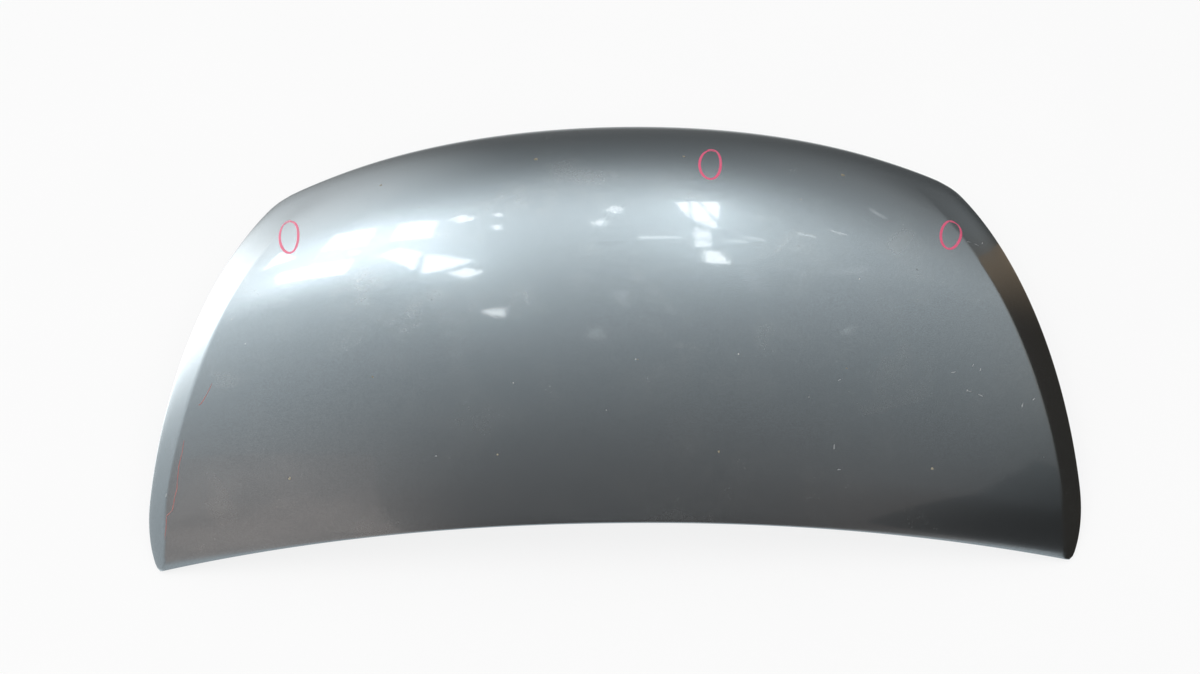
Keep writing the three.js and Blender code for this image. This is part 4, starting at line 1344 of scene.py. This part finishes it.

# Hand drawn inspection rings, each with its middle, half sizes and lean on the skin's plan, thin
# scratches along the left crease, and pale strokes, scuffs and painted glints on the creases, each with its
# place on the skin, length and lean. Each ink has its colour and the least share that it covers
inspectionMarks = {
    "rings": [
        (-537.4, 556.5, 16.7, 48.5, 13.0),
        (169.2, 662.7, 17.6, 44.2, -3.0),
        (558.2, 528.9, 15.7, 41.2, -15.0),
    ],
    "ringSteps": 84,
    "ringOverlap": 0.06,
    "ringWander": 0.035,
    "ringWaves": [(1.0, 1.5), (0.6, 2.5), (0.36, 3.5)],
    "ringWidth": 4.6,
    "scratches": [
        [(-0.8858, 0.3687), (-0.894, 0.345), (-0.9027, 0.3299), (-0.9075, 0.3265)],
        [
            (-0.9273, 0.2568), (-0.9319, 0.2059), (-0.9289, 0.1538), (-0.9365, 0.115), (-0.9504, 0.1061),
            (-0.9534, 0.0829), (-0.9596, 0.0607),
        ],
    ],
    "scratchSteps": 90,
    "scratchWander": 0.0003,
    "scratchWidth": 1.2,
    "scuffsAndGlints": [
        (0.795, 0.358, 6, 60), (0.81, 0.352, 5, 75), (0.748, 0.335, 8, 20), (0.775, 0.3, 9, 10),
        (0.8, 0.296, 7, -15), (0.89, 0.293, 9, 70), (0.918, 0.312, 7, 50), (0.474, 0.154, 8, 85),
        (0.483, 0.112, 5, 10), (0.496, 0.287, 5, 30), (-0.311, 0.431, 3, 0), (-0.363, 0.14, 3, 0),
        # These four are painted glints: white strokes where light glints on the shoulder creases
        (0.886, 0.697, 8, 25), (0.907, 0.7, 8, -10), (0.93, 0.72, 9, 60), (-0.9534, 0.149, 7, 80),
    ],
    "shortStrokeWidth": 1.0,
    "shortStrokeSteps": 9,
    "darkSpot": (0.717, 0.563, 3.5, 0),
    "profile": [(-1.0, 0.04), (-0.6, 0.16), (0.6, 0.16), (1.0, 0.04)],
    "taperPower": 0.25,
    "leastWidth": 0.3,
    "seed": 7,
    "inks": {
        "markerPink": (colour(226, 70, 116), 0.75),
        "scratchOrange": (colour(178, 96, 88), 0.5),
        # Pale strokes: scuffs, and painted glints on the creases
        "paleScuffsAndGlints": (colour(170, 174, 175), 0.2),
        "chipDark": (colour(38, 36, 34), 0.8),
    },
    "waxy": ((900.0, 3.0, 0.7), 0.3, 0.5, 0.6, 1.0),
    "thin": ((120.0, 2.0), 0.3, 0.55),
    "roughness": 0.45,
    "coatWeight": 0.2,
}


def makeStroke(name, places, width):
    m = inspectionMarks
    uv = np.array(places)
    points, normals = skin(uv[:, 0], uv[:, 1]), skinNormal(uv[:, 0], uv[:, 1])
    ahead = np.gradient(points, axis=0)
    aside = np.cross(normals, ahead)
    aside /= np.linalg.norm(aside, axis=1, keepdims=True)
    taper = np.sin(np.linspace(0.0, math.pi, len(uv))) ** m["taperPower"]
    half = (0.5 * width * np.clip(taper, m["leastWidth"], 1.0))[:, None]
    surface = Surface()
    rails = [points + aside * half * share + normals * lift for share, lift in m["profile"]]
    loops = [surface.loop(toFrame(rail, fit)) for rail in rails]
    for outer, inner in zip(loops, loops[1:]):
        surface.bridge(inner, outer, closed=False)
    return makeMesh(name, surface.allPoints(), surface.faces)


# Ink, bared paint and painted glints, each covering the body paint unevenly, down to its least share
def makeMarker(name):
    m = inspectionMarks
    ink, least = m["inks"][name]
    s = Shader(name)
    cover = s.math("MULTIPLY", s.patches(*m["waxy"]), s.patches(*m["thin"], least, 1.0))
    tone = s.mixColour(cover, bodyPaint["base"], ink)
    return s.principled(Base_Color=tone, Roughness=m["roughness"], Coat_Weight=m["coatWeight"])


def makeRing(index, place, random):
    m = inspectionMarks
    x, y, halfWidth, halfLength, lean = place
    angles = np.linspace(-m["ringOverlap"], 1.0 + m["ringOverlap"], m["ringSteps"]) * 2 * math.pi
    phases = random.uniform(0, 2 * math.pi, len(m["ringWaves"]))
    waves = zip(m["ringWaves"], phases)
    wander = sum(strength * np.sin(turns * angles + phase) for (strength, turns), phase in waves)
    size = 1.0 + m["ringWander"] * wander
    across, along = halfWidth * size * np.sin(angles), halfLength * size * np.cos(angles)
    turned = math.radians(lean)
    xs = x + across * math.cos(turned) - along * math.sin(turned)
    ys = y + across * math.sin(turned) + along * math.cos(turned)
    places = [findOnSkin(across, along) for across, along in zip(xs, ys)]
    return makeStroke(f"inspectionRing{index + 1}", places, m["ringWidth"])


def makeScratch(known, random):
    m = inspectionMarks
    known = np.array(known)
    run = np.linspace(0, len(known) - 1, m["scratchSteps"])
    line = np.stack([np.interp(run, np.arange(len(known)), known[:, axis]) for axis in (0, 1)], -1)
    wobble = np.cumsum(random.normal(0, 1, line.shape), axis=0)
    wobble -= np.linspace(0, 1, m["scratchSteps"])[:, None] * wobble[-1]
    return makeStroke("scratch", line + wobble * m["scratchWander"], m["scratchWidth"])


def makeShortStroke(place):
    u, v, length, lean = place
    turned = math.radians(lean)
    reach = length / 2 * np.array([math.cos(turned), math.sin(turned)])
    reach /= (bonnet["widestHalfWidth"], bonnet["noseReach"])
    line = np.array([u, v]) + np.linspace(-1.0, 1.0, inspectionMarks["shortStrokeSteps"])[:, None] * reach
    return makeStroke("shortStroke", line, inspectionMarks["shortStrokeWidth"])


def makeMarks():
    m = inspectionMarks
    random = np.random.default_rng(m["seed"])
    pink = makeMarker("markerPink")
    for index, place in enumerate(m["rings"]):
        finishPiece(makeRing(index, place, random), pink, "body_paint")
    scratches = joinPieces("scratches", [makeScratch(known, random) for known in m["scratches"]])
    finishPiece(scratches, makeMarker("scratchOrange"), "body_paint")
    # Pale scuffs and painted glints, drawn as one piece
    scuffsAndGlints = joinPieces("scuffsAndGlints", [makeShortStroke(place) for place in m["scuffsAndGlints"]])
    finishPiece(scuffsAndGlints, makeMarker("paleScuffsAndGlints"), "body_paint")
    finishPiece(makeShortStroke(m["darkSpot"]), makeMarker("chipDark"), "body_paint")


makeMarks()
print("marks drawn")

# Camera of the photograph: a lens of moderate length above and behind the rear edge, that looks down
# and forwards. Places are in metres and angles in radians
cameraView = {
    "place": (0.0972, -1.6971, 2.3315),
    "turn": -0.0684,
    "down": 0.9393,
    "roll": -0.0733,
    "lens": 52.5,
    "sensor": 36.0,
}


def makeCamera():
    c = cameraView
    turn, down, roll = c["turn"], c["down"], c["roll"]
    ahead = Vector((math.sin(turn) * math.cos(down), math.cos(turn) * math.cos(down), -math.sin(down)))
    level = Vector((math.cos(turn), -math.sin(turn), 0.0))
    upright = level.cross(ahead)
    right = math.cos(roll) * level + math.sin(roll) * upright
    up = -math.sin(roll) * level + math.cos(roll) * upright
    camera = bpy.data.objects.new("camera", bpy.data.cameras.new("camera"))
    camera.data.lens = c["lens"]
    camera.data.sensor_width = c["sensor"]
    turned = Matrix((right, up, -ahead)).transposed().to_4x4()
    camera.matrix_world = Matrix.Translation(c["place"]) @ turned
    bpy.context.scene.collection.objects.link(camera)
    bpy.context.scene.camera = camera


makeCamera()

# Studio: a pale floor, clear from beneath, a soft lamp overhead and, for the gloss of the paint only, a
# hall with a dark roof, bright windows ahead and on the left, and a dark wall on the far right. Each list
# of light levels goes by height above the horizon in degrees, and "reached" says where each takes over,
# by direction. Behind the camera and below, where the photograph shows nothing of the hall, and beside
# the part on the right, it has one plain level
studio = {
    "floorSize": 60.0,
    "floorColour": (0.86, 0.86, 0.86, 1.0),
    "floorPatches": ((3.0, 4.0), 0.3, 0.7, 0.97, 1.0),
    "floorWhite": 0.82,
    "soft": 0.72,
    "lampSize": 3.2,
    "lampPower": 42.0,
    "lampPlace": (-0.8, -0.2, 3.6),
    "left": [
        (-90, 0.15), (-30, 0.4), (-12, 0.95), (4, 2.2), (20, 2.8), (38, 3.3), (50, 2.4), (62, 1.35),
        (76, 0.65), (84, 0.6), (90, 0.65),
    ],
    "farLeft": [
        (-90, 3.0), (-8, 6.5), (6, 5.4), (20, 3.6), (38, 2.4), (54, 1.9), (66, 1.1), (76, 0.62), (90, 0.8),
    ],
    "ahead": [
        (-90, 0.06), (-8, 0.18), (6, 0.25), (22, 0.5), (36, 2.4), (48, 2.6), (62, 1.1), (78, 0.38),
        (90, 0.06),
    ],
    "right": [
        (-90, 0.02), (-14, 0.08), (-6, 0.2), (4, 0.52), (24, 0.88), (44, 1.15), (60, 0.95), (72, 0.55),
        (82, 0.32), (90, 0.42),
    ],
    "leftWall": 1.1,
    "farRight": 0.05,
    "plainHall": 1.15,
    "reached": {
        "left": (-0.14, -0.52),
        "farLeft": (-0.42, -0.8),
        "leftWall": (-0.72, -0.93),
        "right": (0.0, 0.5),
        "farRight": (0.46, 0.86),
        "zenith": (0.92, 0.99),
        "warmLight": (0.5, 0.75),
        "brownLight": (0.45, 0.85),
        "behind": (-0.3, -0.65),
        "below": (-0.4, -0.75),
        "besideRight": (0.6, 0.8),
    },
    "sideCard": {
        "across": 0.85,
        "along": (-0.7, 0.45),
        "heights": (-0.12, 0.24),
        "fade": (0.08, 0.4),
        "light": (0.05, 0.32),
    },
    "coolLight": (0.95, 0.99, 1.0, 1.0),
    "warmLight": (1.0, 0.85, 0.78, 1.0),
    "brownLight": (1.0, 0.74, 0.5, 1.0),
    "roofHeight": 4.5,
    "unevenLight": ((1.4, 3.0), 0.3, 0.7),
    "leastLight": 0.6,
    "paneLight": 14.0,
    "faintLight": 2.6,
    "panes": [
        [(-4.48, 7.37), (-5.25, 9.76), (-3.7, 7.65), (-3.23, 5.89)],
        [(-4.93, 6.72), (-3.08, 4.93), (-2.9, 4.1), (-4.22, 5.23)],
        [(-6.51, 9.3), (-8.44, 13.73), (-5.34, 8.28), (-6.2, 9.2)],
        [(-2.78, 5.5), (-3.15, 7.14), (-2.33, 6.14), (-2.12, 4.93)],
        [(-2.64, 4.64), (-2.46, 4.77), (-2.03, 4.13), (-1.96, 3.43)],
        [(-1.95, 4.02), (-1.34, 3.38), (-1.62, 3.24), (-1.84, 3.21)],
        [(-1.57, 3.1), (-1.39, 3.17), (-1.21, 2.98), (-1.36, 2.85)],
        [(-2.13, 6.0), (-2.01, 6.14), (-1.72, 5.6), (-1.88, 5.43)],
        [(-1.53, 5.68), (-1.41, 5.66), (-1.34, 5.39), (-1.44, 5.42)],
        [(-1.41, 4.92), (-1.3, 4.83), (-1.24, 4.5), (-1.34, 4.64)],
        [(-3.44, 5.83), (-3.2, 5.53), (-3.12, 5.28), (-3.36, 5.59)],
        [(-1.14, 2.11), (-0.94, 2.13), (-0.93, 1.96), (-1.04, 2.0)],
        [(-0.25, 5.21), (-0.19, 5.58), (-0.09, 5.24), (-0.17, 4.9)],
        [(-0.34, 4.46), (-0.28, 4.69), (-0.22, 4.54), (-0.27, 4.27)],
        [(0.45, 5.81), (1.03, 6.19), (0.8, 4.3), (0.57, 4.68)],
        [(0.56, 4.28), (0.74, 4.25), (0.68, 3.54), (0.53, 3.5)],
        [(0.6, 3.42), (0.74, 3.45), (0.82, 3.05), (0.59, 3.03)],
    ],
    "faintPanes": [
        [(-0.16, 2.32), (-0.03, 2.35), (-0.04, 1.98), (-0.09, 2.07)],
        [(0.21, 2.1), (0.26, 2.12), (0.31, 1.95), (0.26, 1.91)],
        [(-0.3, 1.56), (-0.28, 1.68), (-0.21, 1.69), (-0.18, 1.53)],
        [(-0.03, 3.39), (0.02, 3.39), (0.11, 3.02), (-0.03, 2.99)],
        [(0.91, 2.95), (1.02, 2.92), (1.08, 2.32), (0.93, 2.43)],
        [(1.66, 1.86), (1.83, 2.0), (1.76, 1.86), (1.67, 1.81)],
        [(1.76, 3.24), (2.32, 3.76), (2.11, 3.36), (1.74, 3.03)],
        [(4.75, 11.61), (5.1, 12.47), (4.91, 10.94), (4.56, 10.13)],
    ],
    "warmBoards": [[(-5.5, 1.3), (-1.9, 0.45), (-1.5, -3.0), (-6.0, -3.0)]],
    "darkBoards": [[(1.75, -0.75), (3.3, 0.65), (9.0, 0.6), (5.0, -6.0)]],
    "warmBoardLight": 1.0,
    "darkBoardLight": 0.02,
    "glazingBars": [
        [(0.65, 6.3), (0.55, 4.22)],
        [(0.74, 6.3), (0.88, 3.85)],
        [(0.51, 4.58), (0.87, 4.72)],
        [(0.5, 4.11), (0.79, 4.19)],
        [(0.51, 3.76), (0.75, 3.81)],
        [(0.76, 4.2), (0.7, 3.39)],
        [(0.55, 3.41), (0.78, 3.51)],
        [(-2.03, 4.2), (-1.9, 3.2)],
    ],
    "barWidth": 0.035,
    "barDrop": 0.02,
    "barLight": 0.6,
    "tubes": [(0.14, 3.8), (0.34, 3.83), (0.94, 3.86), (1.16, 4.06), (1.84, 4.75), (2.38, 5.52)],
    "tubeSize": (0.1, 0.03),
}


def makeFloor():
    half = studio["floorSize"] / 2
    corners = [(-half, -half, 0), (half, -half, 0), (half, half, 0), (-half, half, 0)]
    floor = makeMesh("floor", corners, [(0, 1, 2, 3)])
    s = Shader("paleFloor")
    tone = s.shaded(studio["floorColour"], s.patches(*studio["floorPatches"]))
    plain = s.add("ShaderNodeBsdfDiffuse", {"Color": tone})
    white = s.add("ShaderNodeEmission", {"Color": (1, 1, 1, 1), "Strength": 1.0})
    path = s.add("ShaderNodeLightPath")
    seen = s.math("MULTIPLY", path.outputs["Is Camera Ray"], studio["floorWhite"])
    mixed = s.add("ShaderNodeMixShader", {0: seen, 1: plain.outputs[0], 2: white.outputs[0]})
    beneath = s.add("ShaderNodeNewGeometry").outputs["Backfacing"]
    clear = s.add("ShaderNodeBsdfTransparent")
    oneSided = s.add("ShaderNodeMixShader", {0: beneath, 1: mixed.outputs[0], 2: clear.outputs[0]})
    floor.data.materials.append(s.show(oneSided))
    floor.visible_glossy = False  # the hall's dark ground shows in the gloss there


def makeWorld():
    world = bpy.data.worlds.new("studio")
    bpy.context.scene.world = world
    world.use_nodes = True
    s = NodeTree(world.node_tree)
    heading = s.add("ShaderNodeTexCoord").outputs["Generated"]
    across, along, high = s.add("ShaderNodeSeparateXYZ", {0: heading}).outputs
    rise = s.math("ARCTAN2", high, s.math("MAXIMUM", along, 0.0))
    share = s.math("MULTIPLY_ADD", rise, 1 / math.pi, 0.5)

    def reached(direction, name):
        return s.between(direction, *studio["reached"][name])

    def levels(name):
        if isinstance(studio[name], float):
            return studio[name]
        ramp = s.add("ShaderNodeValToRGB", {0: share})
        ramp.color_ramp.interpolation = "B_SPLINE"
        elements = ramp.color_ramp.elements
        while len(elements) < len(studio[name]):
            elements.new(0.5)
        brightest = max(level for height, level in studio[name])
        for element, (height, level) in zip(elements, studio[name]):
            element.position = height / 180 + 0.5
            element.color = (level / brightest, level / brightest, level / brightest, 1.0)
        return s.math("MULTIPLY", s.add("ShaderNodeRGBToBW", {0: ramp.outputs[0]}).outputs[0], brightest)

    def mixed(share, first, second):
        kept = s.math("MULTIPLY", first, s.math("SUBTRACT", 1.0, share))
        return s.math("ADD", kept, s.math("MULTIPLY", second, share))

    level = levels("ahead")
    for name in ("left", "farLeft", "leftWall", "right", "farRight"):
        level = mixed(reached(across, name), level, levels(name))
    overhead = s.math("MULTIPLY", reached(share, "zenith"), reached(high, "warmLight"))
    tint = s.mixColour(overhead, studio["coolLight"], studio["warmLight"])
    tint = s.mixColour(reached(across, "brownLight"), tint, studio["brownLight"])
    unseen = s.math("MAXIMUM", reached(along, "behind"), reached(high, "below"))
    unseen = s.math("MAXIMUM", unseen, reached(across, "besideRight"))
    level = mixed(unseen, level, studio["plainHall"])
    tint = s.mixColour(unseen, tint, studio["coolLight"])
    hall = s.add("ShaderNodeBackground", {"Color": tint, "Strength": level})
    soft = s.add("ShaderNodeBackground", {"Color": (1, 1, 1, 1), "Strength": studio["soft"]})
    white = s.add("ShaderNodeBackground", {"Color": (1, 1, 1, 1), "Strength": 1.0})
    path = s.add("ShaderNodeLightPath").outputs
    lit = s.add("ShaderNodeMixShader", {0: path["Is Glossy Ray"], 1: soft.outputs[0], 2: hall.outputs[0]})
    clear = s.math("MAXIMUM", path["Is Camera Ray"], path["Is Transmission Ray"])
    shown = s.add("ShaderNodeMixShader", {0: clear, 1: lit.outputs[0], 2: white.outputs[0]})
    s.add("ShaderNodeOutputWorld", {"Surface": shown.outputs[0]})


# The soft lamp, which the gloss of the paint doesn't show
def makeLamp():
    light = bpy.data.lights.new("overheadLamp", "AREA")
    light.shape = "RECTANGLE"
    light.size = light.size_y = studio["lampSize"]
    light.energy = studio["lampPower"]
    lamp = bpy.data.objects.new("overheadLamp", light)
    lamp.location = studio["lampPlace"]
    lamp.rotation_euler = (-Vector(studio["lampPlace"])).to_track_quat("-Z", "Y").to_euler()
    lamp.visible_glossy = False
    bpy.context.scene.collection.objects.link(lamp)


# Glowing pieces that only the gloss of the paint shows
def makeGlow(name, corners, s, level, tint):
    points = [place for four in corners for place in four]
    piece = makeMesh(name, points, [tuple(range(4 * n, 4 * n + 4)) for n in range(len(corners))])
    glow = s.add("ShaderNodeEmission", {"Color": studio[tint], "Strength": level})
    piece.data.materials.append(s.show(glow))
    piece.visible_camera = False
    piece.visible_diffuse = False
    piece.visible_shadow = False


def makeRoofPiece(name, corners, light, tint="coolLight", drop=0.0):
    s = Shader(name)
    height = studio["roofHeight"] - drop
    level = s.patches(*studio["unevenLight"], studio["leastLight"] * light, light)
    makeGlow(name, [[(x, y, height) for x, y in four] for four in corners], s, level, tint)


# A dark card close to the right shoulder, as the dark wall that the photograph mirrors there
def makeSideCard():
    card = studio["sideCard"]
    x, (rear, nose), (low, high) = card["across"], card["along"], card["heights"]
    four = [(x, rear, low), (x, nose, low), (x, nose, high), (x, rear, high)]
    s = Shader("sideCard")
    along = s.add("ShaderNodeSeparateXYZ", {0: s.place}).outputs["Y"]
    makeGlow("sideCard", [four], s, s.between(along, *card["fade"], *card["light"]), "brownLight")


def makeSkylights():
    length, width = studio["tubeSize"]
    sides = np.array([(-length, -width), (length, -width), (length, width), (-length, width)])
    tubes = [np.array(place) + sides for place in studio["tubes"]]
    makeRoofPiece("skylights", studio["panes"] + tubes, studio["paneLight"])
    makeRoofPiece("faintSkylights", studio["faintPanes"], studio["faintLight"])
    makeRoofPiece("warmBoards", studio["warmBoards"], studio["warmBoardLight"], "warmLight")
    makeRoofPiece("darkBoards", studio["darkBoards"], studio["darkBoardLight"], "brownLight")
    bars = []
    for start, end in np.array(studio["glazingBars"]):
        ahead = (end - start) / np.linalg.norm(end - start)
        aside = studio["barWidth"] / 2 * np.array([ahead[1], -ahead[0]])
        bars.append([start + aside, end + aside, end - aside, start - aside])
    makeRoofPiece("glazingBars", bars, studio["barLight"], drop=studio["barDrop"])


makeFloor()
makeWorld()
makeSkylights()
makeSideCard()
makeLamp()
bpy.context.scene.view_settings.view_transform = "Standard"
print("studio ready")
